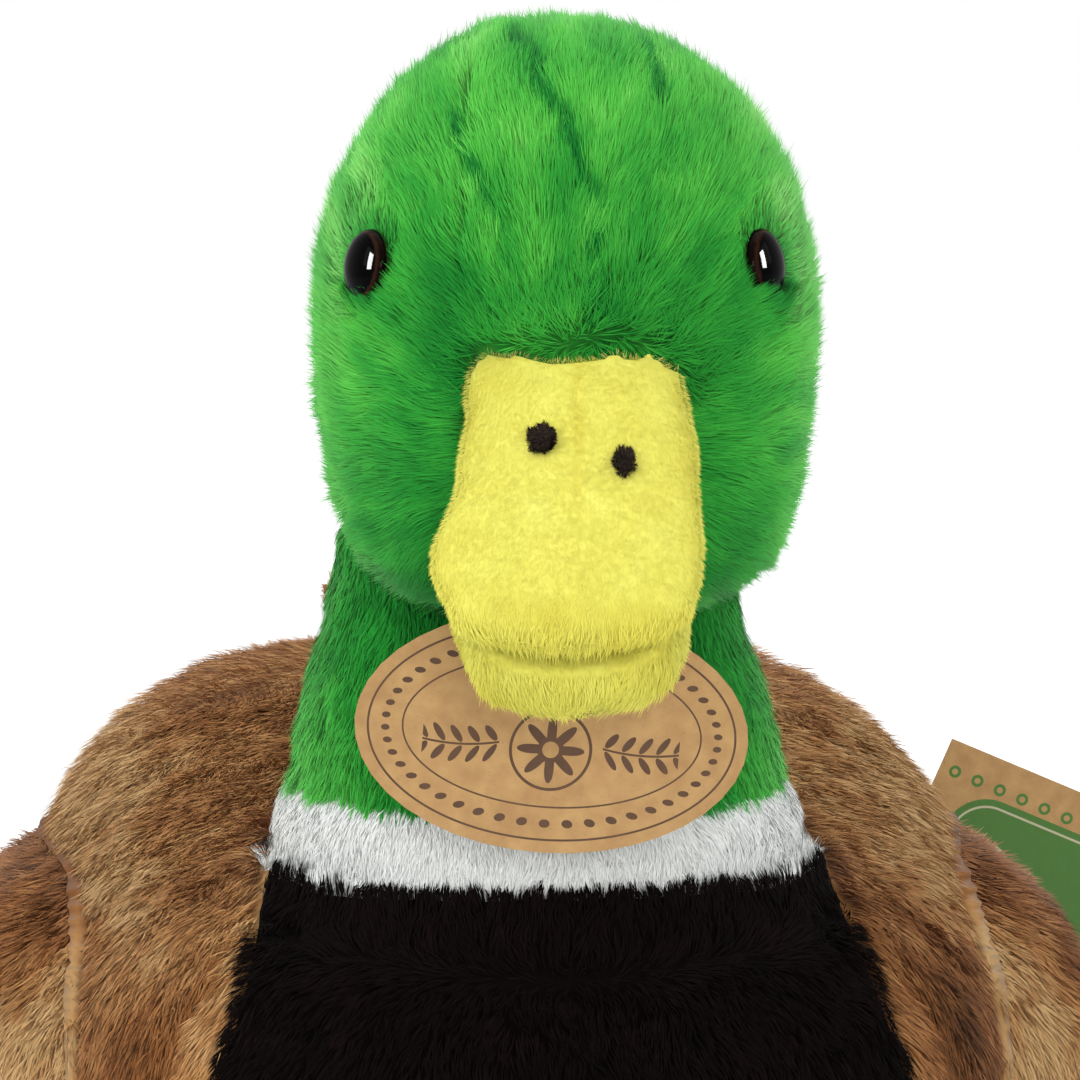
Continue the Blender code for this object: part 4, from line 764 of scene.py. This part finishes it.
def parting_shade_share(points):
    """1 along the partings that run up from the bill over the crown, where painted shade darkens the
    pile.
    """
    share = np.zeros(len(points))
    for start, end, half in (((-0.0008, 0.2132), (-0.0062, 0.2230), 0.00075),
                             ((0.0025, 0.2000), (-0.0008, 0.2132), 0.00070),
                             ((0.0040, 0.1850), (0.0025, 0.2000), 0.00045),
                             ((0.0136, 0.2150), (0.0118, 0.2220), 0.00070),
                             ((-0.0109, 0.2000), (-0.0146, 0.2118), 0.00045),
                             ((-0.0140, 0.1800), (-0.0155, 0.1900), 0.00260)):
        start, end = np.array(start), np.array(end)
        flat = points[:, [0, 2]] - start
        way = end - start
        along = np.clip(flat @ way / (way @ way), 0, 1)
        off = np.linalg.norm(flat - along[:, None] * way, axis=1)
        off += 0.0005 * drift(points, 0.0035, 43)
        # How deep the painted shade is along each parting.
        painted_shade = 0.70 if half < 0.001 else 0.45
        share = np.maximum(share, painted_shade * (1 - rise(off, half * 0.3, half * 2.0)))
    return share * (points[:, 1] < -0.062)


def face_first(points, normals):
    """Denser pile on the face's side of the head."""
    return np.where(points[:, 1] < -0.045, 1.0, 0.32)


head_pile = pile_material("head_pile", [(0.0, (0.001, 0.090, 0.018)), (0.25, (0.006, 0.230, 0.025)),
                                        (0.55, (0.036, 0.410, 0.042)), (0.8, (0.105, 0.610, 0.068)),
                                        (1.0, (0.240, 0.760, 0.140))])
for part_name, node, low, high, seed in (
        ("head_right_cover", "head_side_right", -1.0, -STRIP_HALF, 200),
        ("head_strip_cover", "head_gusset", -STRIP_HALF, STRIP_HALF, 210),
        ("head_left_cover", "head_side_left", STRIP_HALF, 1.0, 220)):
    sheet = panel_of(head_skin, lambda face: low < head_place(face) < high)
    roots, outward = scattered(sheet, 12.5, seed, face_first)
    free = clear_of_bill(roots, outward)
    eye_gap = np.full(len(roots), 1.0)
    away = np.zeros_like(roots)
    for place, _ in EYES.values():
        off = roots - np.array(place)
        gap = np.linalg.norm(off, axis=1)
        near = gap < eye_gap
        eye_gap[near] = gap[near]
        away[near] = off[near]
    free &= eye_gap > 0.0050
    roots, outward, eye_gap, away = roots[free], outward[free], eye_gap[free], away[free]
    spread = 1.5 * (1 - rise(eye_gap, 0.006, 0.011))
    lash = (eye_gap < 0.0080) & (away[:, 2] < -0.0030)
    spread = np.where(lash, -2.4, spread)
    comb = unit(roots - np.array(BILL_ROOT)) + unit(away) * spread[:, None]
    length = 0.0066 * (0.40 + 0.60 * rise(eye_gap, 0.005, 0.012))
    length = np.where(lash, 0.0042, length)
    bill_gap = distances(bill_tree, roots)
    over_bill = rise(roots[:, 2], 0.172, 0.179)
    brow = (1 - rise(bill_gap, 0.0016, 0.0042)) * over_bill
    whorl = (1 - rise(bill_gap, 0.0040, 0.0110)) * over_bill
    comb = comb * (1 - brow[:, None]) + np.array([0.0, -0.5, -1.0]) * brow[:, None]
    middle_brow = np.exp(-((roots[:, 0] - 0.003) / 0.006) ** 2)
    length = length * (1 - brow * (0.55 - 0.27 * middle_brow))
    strands, tint = laid_pile(roots, outward, comb, length, 0.00019, seed + 1,
                              lift=31 + 27 * lash + 16 * brow + 10 * whorl, stray=10 + 24 * whorl,
                              pull=0.32)
    # Painted shade round each eye, deeper below it.
    socket = (1 - rise(eye_gap, 0.0052, 0.0090)) * (1 + 0.6 * rise(-away[:, 2], 0.0, 0.004))
    # Painted shade along the partings multiplies the tone down.
    tones = (head_tone_and_painted_light(roots) + 0.045 * tint - 0.28 * socket) * (1 - parting_shade_share(roots))
    furred(part_name, "head", node, backed(sheet), strands, tones, head_tone_and_painted_light, head_pile)
head_skin.free()

# Eyes: domed safety eyes of clear-coated plastic, a black pupil inside a brown
# rim, each pushed through the head's fabric on a shank and held behind it by a
# toothed plastic washer.
EYE_RADIUS, EYE_FLOOR, EYE_RISE = 0.0053, -0.0012, 0.0029
EYE_LIFT = Vector((0.0, 0.0, 0.0009))
SHANK_RADIUS, SHANK_END = 0.0015, -0.0057


def spun(profile, turn_steps):
    """A solid of revolution about Z through a profile of (radius, height)."""
    form = bmesh.new()
    rim = [form.verts.new((radius, 0.0, height)) for radius, height in profile]
    edges = [form.edges.new(pair) for pair in zip(rim, rim[1:])]
    bmesh.ops.spin(form, geom=rim + edges, cent=(0, 0, 0), axis=(0, 0, 1), angle=2 * math.pi,
                   steps=turn_steps, use_merge=True)
    bmesh.ops.remove_doubles(form, verts=form.verts, dist=0.000001)
    return form


def eye_material(name, turned):
    """Glossy plastic, black in the middle and brown near the rim, with fine swirls."""
    material = bpy.data.materials.new(name)
    material.use_nodes = True
    nodes, links = material.node_tree.nodes, material.node_tree.links
    shader = nodes["Principled BSDF"]
    shader.inputs["Specular IOR Level"].default_value = 0.02
    places = nodes.new("ShaderNodeTexCoord")
    mapping = nodes.new("ShaderNodeMapping")
    mapping.vector_type = "TEXTURE"
    mapping.inputs["Location"].default_value = turned.to_translation()
    mapping.inputs["Rotation"].default_value = turned.to_euler()
    mapping.inputs["Scale"].default_value = (EYE_RADIUS, EYE_RADIUS, EYE_RADIUS)
    links.new(places.outputs["Object"], mapping.inputs["Vector"])
    flat = nodes.new("ShaderNodeVectorMath")
    flat.operation = "MULTIPLY"
    flat.inputs[1].default_value = (1.0, 1.0, 0.0)
    links.new(mapping.outputs["Vector"], flat.inputs[0])
    length = nodes.new("ShaderNodeVectorMath")
    length.operation = "LENGTH"
    links.new(flat.outputs["Vector"], length.inputs[0])
    swirl = nodes.new("ShaderNodeTexNoise")
    swirl.inputs["Scale"].default_value = 6.0
    links.new(mapping.outputs["Vector"], swirl.inputs["Vector"])
    ring = nodes.new("ShaderNodeMath")
    ring.operation = "MULTIPLY_ADD"
    ring.inputs[1].default_value = 0.08
    links.new(swirl.outputs["Fac"], ring.inputs[0])
    links.new(length.outputs["Value"], ring.inputs[2])
    dye = nodes.new("ShaderNodeValToRGB")
    stops = dye.color_ramp.elements
    stops[0].position, stops[0].color = 0.88, (0.0008, 0.0008, 0.0012, 1.0)
    stops[1].position, stops[1].color = 1.00, (0.006, 0.003, 0.002, 1.0)
    middle = stops.new(0.94)
    middle.color = (0.032, 0.012, 0.006, 1.0)
    links.new(ring.outputs[0], dye.inputs["Fac"])
    links.new(dye.outputs["Color"], shader.inputs["Base Color"])
    gloss = nodes.new("ShaderNodeMapRange")
    gloss.inputs["To Min"].default_value = 0.03
    gloss.inputs["To Max"].default_value = 0.07
    links.new(swirl.outputs["Fac"], gloss.inputs["Value"])
    links.new(gloss.outputs["Result"], shader.inputs["Roughness"])
    return material


washer_plastic = grained("washer_plastic", (0.55, 0.55, 0.54), (0.66, 0.66, 0.65), 0.001, 0.45, 0.1)
dome = [(EYE_RADIUS * math.cos(turn), EYE_FLOOR + EYE_RISE * math.sin(turn))
        for turn in np.linspace(math.pi / 2, 0.0, 17)]
dome += [(EYE_RADIUS * 0.96, EYE_FLOOR - 0.0002), (SHANK_RADIUS, EYE_FLOOR - 0.0002),
         (SHANK_RADIUS, SHANK_END), (0.0, SHANK_END)]
catch_lights = bpy.data.collections.new("catch_lights")
for side_name, (place, outward_way) in EYES.items():
    sideways = Matrix.Rotation(math.radians(5 if side_name == "left" else -5), 3, "Z") @ outward_way
    turned = Matrix.Translation(place + EYE_LIFT) @ sideways.to_track_quat("Z", "Y").to_matrix().to_4x4()
    eye = spun(dome, 48)
    bmesh.ops.transform(eye, matrix=turned, verts=eye.verts)
    dome_piece = plain_piece(f"eye_{side_name}_dome", "head", f"eye_{side_name}", eye,
                             eye_material(f"eye_{side_name}_plastic", turned))
    catch_lights.objects.link(dome_piece)
    dressed(f"eye_washer_{side_name}", washer_plastic)
for lamp_name, lamp_place, lamp_width, lamp_height, lamp_power in (
        ("catch_left", (-1.00, -0.54, 0.56), 0.36, 0.66, 400.0),
        ("catch_right", (1.00, -0.54, 0.56), 0.36, 0.66, 400.0)):
    lamp_data = bpy.data.lights.new(lamp_name, "AREA")
    lamp_data.shape = "RECTANGLE"
    lamp_data.size = lamp_width
    lamp_data.size_y = lamp_height
    lamp_data.energy = lamp_power
    lamp = bpy.data.objects.new(lamp_name, lamp_data)
    lamp.location = lamp_place
    lamp_aim = Vector((0.0, -0.087, 0.193)) - lamp.location
    lamp.rotation_euler = lamp_aim.to_track_quat("-Z", "Y").to_euler()
    lamp.light_linking.receiver_collection = catch_lights
    lamp.visible_diffuse = False
    bpy.context.scene.collection.objects.link(lamp)

# Bill: two stuffed halves of short yellow velour, sewn together round the lip and
# sewn into the face. Its nostrils are stitched in dark thread through the top half.
BILL_HALF_WIDTH, JAW_TOP = 0.0190, -0.0048
LIP_PUFF_LEFT = ([0.007, 0.010, 0.014, 0.018, 0.022, 0.029, 0.034, 0.039, 0.045, 0.050, 0.059],
                 [0.0026, 0.0008, -0.0010, -0.0008, -0.0010, -0.0012, -0.0004, 0.0006,
                  0.0012, 0.0002, 0.0])
LIP_PUFF_RIGHT = ([0.000, 0.004, 0.008, 0.014, 0.022, 0.029, 0.039, 0.045, 0.050, 0.059],
                  [0.0030, 0.0022, 0.0012, 0.0007, 0.0002, -0.0003, -0.0008, -0.0008, -0.0006, -0.0003])


SEWN_DEPTH = 0.0060


def shows(tree, point):
    """Whether a point lies outside a tree's closed solids, or no deeper than it is sewn in."""
    place, normal, _, _ = tree.find_nearest(point)
    return (point - place).dot(normal) > -SEWN_DEPTH


def puffed(form, is_jaw):
    """The bill's outline as stuffing and stitches pull it: square at the face, fuller at one
    lip, narrower below its rim, and with a jaw that comes out to a blunt point."""
    to_bill = BILL_TURN.inverted()
    for vert in form.verts:
        local = to_bill @ vert.co
        corner = rise(local.x, 0.003, 0.013) * (1 - rise(local.y, 0.010, 0.020))
        local.y -= 0.0046 * corner
        if is_jaw:
            below = max(0.0, JAW_TOP - local.z)
            tip = rise(local.y, 0.044, 0.057)
            local.z -= 0.24 * below
            local.y += 0.0022 * tip + 0.0022 * tip * (1 - (local.x / BILL_HALF_WIDTH) ** 2)
            local.x *= 1 + 0.04 * rise(below, 0.0, 0.003) - 0.10 * tip * rise(below, 0.002, 0.008)
        else:
            local.x *= 1 - 0.07 * (1 - rise(local.z, -0.0040, 0.0030))
        reach, extra = LIP_PUFF_LEFT if local.x > 0 else LIP_PUFF_RIGHT
        local.x += np.interp(local.y, reach, extra) * max(-1.0, min(1.0, local.x / BILL_HALF_WIDTH))
        vert.co = BILL_TURN @ local
    form.normal_update()


def bill_tone(points):
    """Cream at the middle, a warmer seam line along the top and a warmer lip."""
    local = on_bill(points)
    tone = 0.62 + 0.10 * drift(points, 0.012, 61) + 0.05 * drift(points, 0.005, 62)
    seam = np.exp(-((local[:, 0] + 0.0008) / 0.0007) ** 2) * (local[:, 2] > 0)
    tone -= 0.30 * seam * (1 - rise(local[:, 1], 0.028, 0.045))
    tone -= 0.25 * (1 - rise(local[:, 1], 0.002, 0.010))
    tone -= 0.20 * np.exp(-((local[:, 1] - 0.0565) / 0.0025) ** 2)
    return tone


bill_pile = pile_material("bill_pile", [(0.0, (0.74, 0.55, 0.045)), (0.35, (0.80, 0.74, 0.110)),
                                        (0.7, (0.85, 0.82, 0.155)), (1.0, (0.88, 0.86, 0.220))],
                          root_shade=1.0, sheen=0.35)
head_tree = tree_of(["head_side_left", "head_side_right", "head_gusset"])
upper_tree = tree_of(["bill_upper"])
bill_up = BILL_TURN.to_3x3() @ Vector((0, 0, 1))
lamp_way = Vector((0.0, -0.93, 0.37))
BILL_GLOW = 1.5
for part_name, node, seed in (("bill_top", "bill_upper", 230), ("bill_jaw", "bill_lower", 240)):
    form = stuffed_form([node], 0.0014, 5, 0.0002)
    if node == "bill_lower":
        for vert in form.verts:
            if vert.normal.dot(bill_up) > 0.2:
                gap = upper_tree.ray_cast(vert.co, bill_up, 0.008)[3]
                vert.co += bill_up * min(0.0040, max(0.0, (gap or 0.0) - 0.0008))
        form.normal_update()
    puffed(form, node == "bill_lower")
    roots, outward = scattered(form, 14.0, seed)
    free = np.array([shows(head_tree, Vector(root)) for root in roots])
    roots, outward = roots[free], outward[free]
    comb = np.tile(np.array(BILL_TURN.to_3x3() @ Vector((0, 1, 0))), (len(roots), 1))
    edge = 1 - rise(np.abs(outward @ np.array(bill_up)), 0.35, 0.85)
    lip = edge * rise(on_bill(roots)[:, 1], 0.050, 0.057)
    glow = BILL_GLOW * (bill_up if node == "bill_upper" else lamp_way)
    strands, tint = laid_pile(roots, outward, comb, 0.0008 + 0.0006 * edge + 0.0019 * lip, 0.00014,
                              seed + 1, lift=20 + 26 * edge - 10 * lip, droop=8, stray=14,
                              pull=0.06, roll=15, glow=glow)
    furred(part_name, "head", node, form, strands, bill_tone(roots) + 0.02 * tint,
           bill_tone, bill_pile, glow=glow)
nostril_thread = pile_material("nostril_thread", [(0.0, (0.010, 0.006, 0.004)),
                                                  (1.0, (0.045, 0.028, 0.020))], sheen=0.0)
for side_name, breadth in (("left", 0.68), ("right", 0.95)):
    form = stuffed_form([f"nostril_{side_name}"], 0.0004, 3, 0.0)
    middle = sum((vert.co for vert in form.verts), Vector()) / len(form.verts)
    bill_across = BILL_TURN.to_3x3() @ Vector((1, 0, 0))
    for vert in form.verts:
        off = vert.co - middle
        wavy = 1 + 0.08 * math.sin(5 * math.atan2(off.dot(bill_across), off.z) + breadth * 9)
        vert.co = middle + off * 0.90 * wavy - bill_across * off.dot(bill_across) * (1 - breadth)
    form.normal_update()
    roots, outward = scattered(form, 30.0, 250 + len(side_name))
    comb = roots - np.array(middle) + 0.0006 * np.array(bill_up)
    strands, tint = laid_pile(roots, outward, comb, 0.0013, 0.00016, 260 + len(side_name), lift=28,
                              stray=50, tuft_share=0.1)
    furred(f"nostril_{side_name}_stitches", "head", f"nostril_{side_name}", form, strands,
           0.5 + 0.2 * tint, lambda p: np.full(len(p), 0.4), nostril_thread)

# Wings: each is a cover of the mantle's pile fabric and a thin knitted lining, sewn
# round the edge with a little filling between, and sewn to the side along its top.


def wing_tone(points):
    """Pale along the wing's front edge, brown and streaky behind it."""
    tone = 0.48 + 0.10 * drift(points * np.array([1.0, 0.5, 1.0]), 0.010, 71)
    tone += 0.06 * drift(points, 0.005, 72)
    return tone + 0.46 * (1 - rise(points[:, 1], -0.044, -0.014))


def rim_of(form):
    """The front and top edge of a wing, as a tree of its points seen from the side."""
    edge = [vert.co for vert in form.verts
            if abs(vert.normal.x) < 0.45 and (vert.normal.y < -0.35 or vert.normal.z > 0.45)]
    tree = kdtree.KDTree(len(edge))
    for index, place in enumerate(edge):
        tree.insert((0.0, place.y, place.z), index)
    tree.balance()
    return tree


def rim_gap(tree, point):
    """How far a point of a wing is from the wing's front and top edge."""
    return tree.find((0.0, point[1], point[2]))[2]


RIM_WIDTH, RIM_TUCK, COVER_TUCK, COVER_PUFF = 0.016, 0.0020, 0.0046, 0.0020
LINING_INSET, BARE_INSET = 0.0100, 0.0092
lining_knit = woven("lining_knit", (0.150, 0.070, 0.028), (0.200, 0.100, 0.042), 0.0006, 0.5)
for side_name, side in (("left", 1), ("right", -1)):
    form = stuffed_form([f"wing_{side_name}_cover", f"wing_{side_name}_lining"], 0.0014, 5, 0.0004)
    rim = rim_of(form)
    for vert in form.verts:
        outer = rise(vert.normal.x * side, -0.2, 0.5)
        full = rise(rim_gap(rim, vert.co), 0.0, RIM_WIDTH)
        vert.co.x += side * (outer * (COVER_PUFF * full - COVER_TUCK * (1 - full))
                             - RIM_TUCK * (1 - full))
    form.normal_update()
    lining = panel_of(form, lambda face: face.normal.x * side < -0.35
                      and rim_gap(rim, face.calc_center_median()) > LINING_INSET)
    for vert in lining.verts:
        vert.co += vert.normal * 0.0003
    plain_piece(f"wing_{side_name}_underside", f"wing_{side_name}", f"wing_{side_name}_lining",
                backed(lining), lining_knit)
    lining.free()

    def wing_outside(points, normals):
        """Pile on all of the wing but its lining, densest in front: it wraps the front rim."""
        gaps = np.array([rim_gap(rim, point) for point in points])
        lined = (normals[:, 0] * side < -0.40) & (gaps > BARE_INSET)
        return np.where(lined, 0.0, np.where(points[:, 1] < 0.0, 1.0, 0.28))

    roots, outward = scattered(form, 8.0, 270 + side, wing_outside)
    behind = rise(roots[:, 1], -0.020, 0.040)
    comb = np.stack([-0.22 * side * (1 - behind), 0.9 * behind - 0.05,
                     np.full(len(roots), -1.0)], axis=1)
    strands, tint = laid_pile(roots, outward, comb, 0.0054, 0.00022, 280 + side, lift=32, stray=12,
                              pull=0.22, roll=50)
    furred(f"wing_{side_name}_pile", f"wing_{side_name}", f"wing_{side_name}_cover", form,
           strands, wing_tone(roots) + 0.07 * tint, wing_tone, mantle_pile)

# Feet and tail: the feet are two webbed paddles of the bill's velour, each with a
# flat sole, and the tail is two layers of the mantle's fabric.
foot_pile = pile_material("foot_pile", [(0.0, (0.74, 0.44, 0.030)), (0.5, (0.86, 0.62, 0.065)),
                                        (1.0, (0.92, 0.76, 0.130))], root_shade=0.95, sheen=0.08)


def nearer(first, second):
    """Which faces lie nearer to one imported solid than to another."""
    first_tree, second_tree = tree_of([first]), tree_of([second])
    return lambda face: (first_tree.find_nearest(face.calc_center_median())[3]
                         < second_tree.find_nearest(face.calc_center_median())[3])


for side_name in ("left", "right"):
    upper, sole = f"foot_{side_name}_upper", f"foot_{side_name}_sole"
    skin = stuffed_form([upper, sole], 0.0010, 3, 0.0002)
    for node, other in ((upper, sole), (sole, upper)):
        sheet = panel_of(skin, nearer(node, other))
        roots, outward = scattered(sheet, 4.2, 290 + len(node),
                                   lambda points, normals: np.where(normals[:, 2] > -0.6, 1.0, 0.0))
        comb = np.tile(np.array([0.0, -1.0, -0.2]), (len(roots), 1))
        strands, tint = laid_pile(roots, outward, comb, 0.0014, 0.00022, 300 + len(node),
                                  lift=32, droop=10, stray=24, pull=0.1)
        strands[:, :4, 2] = np.maximum(strands[:, :4, 2], 0.0001)
        tones = 0.5 + 0.12 * drift(roots, 0.010, 63) + 0.06 * tint
        furred(f"{node}_pile", f"foot_{side_name}", node, backed(sheet), strands, tones,
               lambda p: np.full(len(p), 0.5), foot_pile)
    skin.free()
skin = stuffed_form(["tail_upper", "tail_lower"], 0.0014, 4, 0.0003)
for node, other in (("tail_upper", "tail_lower"), ("tail_lower", "tail_upper")):
    sheet = panel_of(skin, nearer(node, other))
    roots, outward = scattered(sheet, 5.2, 310 + len(other))
    comb = np.stack([roots[:, 0] * 0.8, np.full(len(roots), 0.05), np.full(len(roots), 0.012)], axis=1)
    strands, tint = laid_pile(roots, outward, comb, 0.0045, 0.00028, 320 + len(other), lift=20)
    tones = mantle_tone_and_painted_light(roots) - 0.12 + 0.07 * tint
    furred(f"{node}_pile", "tail", node, backed(sheet), strands, tones,
           lambda p: mantle_tone_and_painted_light(p) - 0.12, mantle_pile)
skin.free()

# Tags: two kraft cards, printed in dark brown and green with plain ornament, on
# clear nylon loops. The oval one hangs below the bill and the other on a wing.


def calculated(nodes, links, operation, *values):
    """A Math node's result for values that are numbers or other results."""
    node = nodes.new("ShaderNodeMath")
    node.operation = operation
    for socket, value in zip(node.inputs, values):
        if isinstance(value, (int, float)):
            socket.default_value = value
        else:
            links.new(value, socket)
    return node.outputs[0]


def kraft_card(name, location, roll):
    """Kraft card with fibres, and the card's own X and Y in millimetres for printing on it."""
    material = grained(name, (0.42, 0.232, 0.088), (0.53, 0.322, 0.128), 0.0030, 0.80, 0.15)
    nodes, links = material.node_tree.nodes, material.node_tree.links
    mapping = nodes.new("ShaderNodeMapping")
    mapping.vector_type = "TEXTURE"
    mapping.inputs["Location"].default_value = location
    mapping.inputs["Rotation"].default_value = (math.pi / 2, math.radians(roll), 0.0)
    mapping.inputs["Scale"].default_value = (0.001, 0.001, 0.001)
    links.new(nodes["Texture Coordinate"].outputs["Object"], mapping.inputs["Vector"])
    fibres = nodes.new("ShaderNodeTexVoronoi")
    fibres.inputs["Scale"].default_value = 1.3
    stretch = nodes.new("ShaderNodeMapping")
    stretch.inputs["Scale"].default_value = (0.5, 2.6, 1.0)
    links.new(mapping.outputs["Vector"], stretch.inputs["Vector"])
    links.new(stretch.outputs["Vector"], fibres.inputs["Vector"])
    fleck = calculated(nodes, links, "LESS_THAN", fibres.outputs["Distance"], 0.13)
    flecked = nodes.new("ShaderNodeMix")
    flecked.data_type = "RGBA"
    flecked.inputs["B"].default_value = (0.25, 0.130, 0.060, 1.0)
    links.new(calculated(nodes, links, "MULTIPLY", fleck, 0.55), flecked.inputs["Factor"])
    links.new(nodes["Color Ramp"].outputs["Color"], flecked.inputs["A"])
    split = nodes.new("ShaderNodeSeparateXYZ")
    links.new(mapping.outputs["Vector"], split.inputs["Vector"])
    return material, flecked.outputs["Result"], split.outputs["X"], split.outputs["Y"]


def printed(nodes, links, under, mask, ink):
    """Ink laid over a colour where a mask is 1."""
    layer = nodes.new("ShaderNodeMix")
    layer.data_type = "RGBA"
    layer.inputs["B"].default_value = (*ink, 1.0)
    links.new(mask, layer.inputs["Factor"])
    links.new(under, layer.inputs["A"])
    return layer.outputs["Result"]


BROWN_INK, GREEN_INK, CREAM_INK = (0.050, 0.018, 0.013), (0.045, 0.180, 0.030), (0.62, 0.55, 0.38)
FRONT_CARD_CENTRE = (-0.00352, -0.1035, 0.12855)
front_card, paper_colour, across, up = kraft_card("front_card", FRONT_CARD_CENTRE, 5.0)
nodes, links = front_card.node_tree.nodes, front_card.node_tree.links


def calc(operation, *values):
    """A Math node in the material at hand."""
    return calculated(nodes, links, operation, *values)


def from_oval(half_wide, half_tall):
    """The distance in millimetres from an oval line, about."""
    level = calc("ADD", calc("POWER", calc("DIVIDE", across, half_wide), 2.0),
                 calc("POWER", calc("DIVIDE", up, half_tall), 2.0))
    slope = calc("ADD", calc("POWER", calc("DIVIDE", across, half_wide ** 2), 2.0),
                 calc("POWER", calc("DIVIDE", up, half_tall ** 2), 2.0))
    run = calc("MULTIPLY", calc("SQRT", slope), 2.0)
    return calc("DIVIDE", calc("SUBTRACT", level, 1.0), calc("MAXIMUM", run, 0.01))


ring = calc("LESS_THAN", calc("ABSOLUTE", from_oval(26.6, 15.8)), 0.16)
inner = calc("LESS_THAN", calc("ABSOLUTE", from_oval(21.6, 11.0)), 0.13)
bearing = calc("ARCTAN2", calc("DIVIDE", up, 13.3), calc("DIVIDE", across, 24.0))
cell = calc("SUBTRACT", calc("FRACT", calc("MULTIPLY", bearing, 46 / (2 * math.pi))), 0.5)
bead_off = calc("SQRT", calc("ADD", calc("POWER", calc("MULTIPLY", cell, 2.6), 2.0),
                             calc("POWER", from_oval(24.1, 13.4), 2.0)))
beads = calc("LESS_THAN", bead_off, 0.62)
drop = calc("ADD", up, 2.6)
spoke = calc("ARCTAN2", drop, across)
reach = calc("SQRT", calc("ADD", calc("POWER", across, 2.0), calc("POWER", drop, 2.0)))
petal = calc("MULTIPLY_ADD", calc("COSINE", calc("MULTIPLY", spoke, 8.0)), 1.5, 3.4)
rosette = calc("MULTIPLY", calc("LESS_THAN", reach, petal), calc("GREATER_THAN", reach, 1.2))
hoop = calc("LESS_THAN", calc("ABSOLUTE", calc("SUBTRACT", reach, 5.8)), 0.22)
outward_mm = calc("ABSOLUTE", across)
stem_rise = calc("MULTIPLY", calc("POWER", calc("SUBTRACT", outward_mm, 13.5), 2.0), 0.018)
from_stem = calc("ABSOLUTE", calc("SUBTRACT", drop, stem_rise))
leaf_u = calc("SUBTRACT", calc("MULTIPLY", calc("FRACT", calc("DIVIDE", outward_mm, 2.5)), 2.5), 1.25)
leaf_v = calc("SUBTRACT", from_stem, 1.45)
leaf_p = calc("ADD", calc("MULTIPLY", leaf_u, 0.60), calc("MULTIPLY", leaf_v, 0.80))
leaf_q = calc("SUBTRACT", calc("MULTIPLY", leaf_v, 0.60), calc("MULTIPLY", leaf_u, 0.80))
leaf_fit = calc("ADD", calc("POWER", calc("DIVIDE", leaf_p, 1.45), 2.0),
                calc("POWER", calc("DIVIDE", leaf_q, 0.52), 2.0))
sprig = calc("MAXIMUM", calc("LESS_THAN", leaf_fit, 1.0), calc("LESS_THAN", from_stem, 0.16))
sprig = calc("MULTIPLY", sprig, calc("MULTIPLY", calc("GREATER_THAN", outward_mm, 7.5),
                                     calc("LESS_THAN", outward_mm, 18.6)))
ornament = ring
for part in (inner, beads, rosette, hoop, sprig):
    ornament = calc("MAXIMUM", ornament, part)
worn_ink = calc("MULTIPLY", ornament,
                calc("MULTIPLY_ADD", nodes["Noise Texture"].outputs["Fac"], 0.2, 0.78))
links.new(printed(nodes, links, paper_colour, worn_ink, BROWN_INK),
          nodes["Principled BSDF"].inputs["Base Color"])
dressed("front_tag", front_card)

side_card, paper_colour, across, up = kraft_card("side_card", (0.08428, 0.087, 0.07362), 23.6)
nodes, links = side_card.node_tree.nodes, side_card.node_tree.links
over_x = calc("MAXIMUM", calc("SUBTRACT", calc("ABSOLUTE", calc("SUBTRACT", across, 23.0)), 15.0), 0.0)
over_y = calc("MAXIMUM", calc("SUBTRACT", calc("ABSOLUTE", calc("ADD", up, 2.5)), 4.5), 0.0)
panel_off = calc("SQRT", calc("ADD", calc("POWER", over_x, 2.0), calc("POWER", over_y, 2.0)))
green = calc("LESS_THAN", panel_off, 8.0)
border = calc("LESS_THAN", calc("ABSOLUTE", calc("SUBTRACT", panel_off, 6.6)), 0.20)
leaf_x, leaf_y = calc("SUBTRACT", across, 9.0), calc("ABSOLUTE", calc("SUBTRACT", up, 0.5))
lens = calc("SQRT", calc("ADD", calc("POWER", leaf_x, 2.0), calc("POWER", calc("ADD", leaf_y, 4.6), 2.0)))
leaf = calc("MULTIPLY", calc("LESS_THAN", lens, 6.6), calc("GREATER_THAN", leaf_y, 0.25))
dot_u = calc("SUBTRACT", calc("MULTIPLY", calc("FRACT", calc("DIVIDE", across, 4.4)), 4.4), 2.2)
dot_off = calc("SQRT", calc("ADD", calc("POWER", dot_u, 2.0),
                            calc("POWER", calc("SUBTRACT", up, 11.8), 2.0)))
dots = calc("MULTIPLY", calc("LESS_THAN", dot_off, 1.1), calc("GREATER_THAN", dot_off, 0.55))
coloured = printed(nodes, links, paper_colour,
                   calc("MULTIPLY", calc("MAXIMUM", green, dots), 0.94), GREEN_INK)
cream = calc("MULTIPLY", calc("MAXIMUM", border, leaf), 0.85)
links.new(printed(nodes, links, coloured, cream, CREAM_INK),
          nodes["Principled BSDF"].inputs["Base Color"])
dressed("side_tag", side_card)

nylon = grained("nylon", (0.62, 0.62, 0.60), (0.72, 0.72, 0.70), 0.002, 0.25, 0.05)
nylon.node_tree.nodes["Principled BSDF"].inputs["Transmission Weight"].default_value = 0.6
dressed("front_tag_loop", nylon)
dressed("side_tag_loop", nylon)

# Care label: a bare strip of woven white ribbon sewn into the seam at the rear.
label_ribbon = woven("label_ribbon", (0.70, 0.70, 0.68), (0.82, 0.82, 0.80), 0.0005, 0.35)
dressed("care_label", label_ribbon)
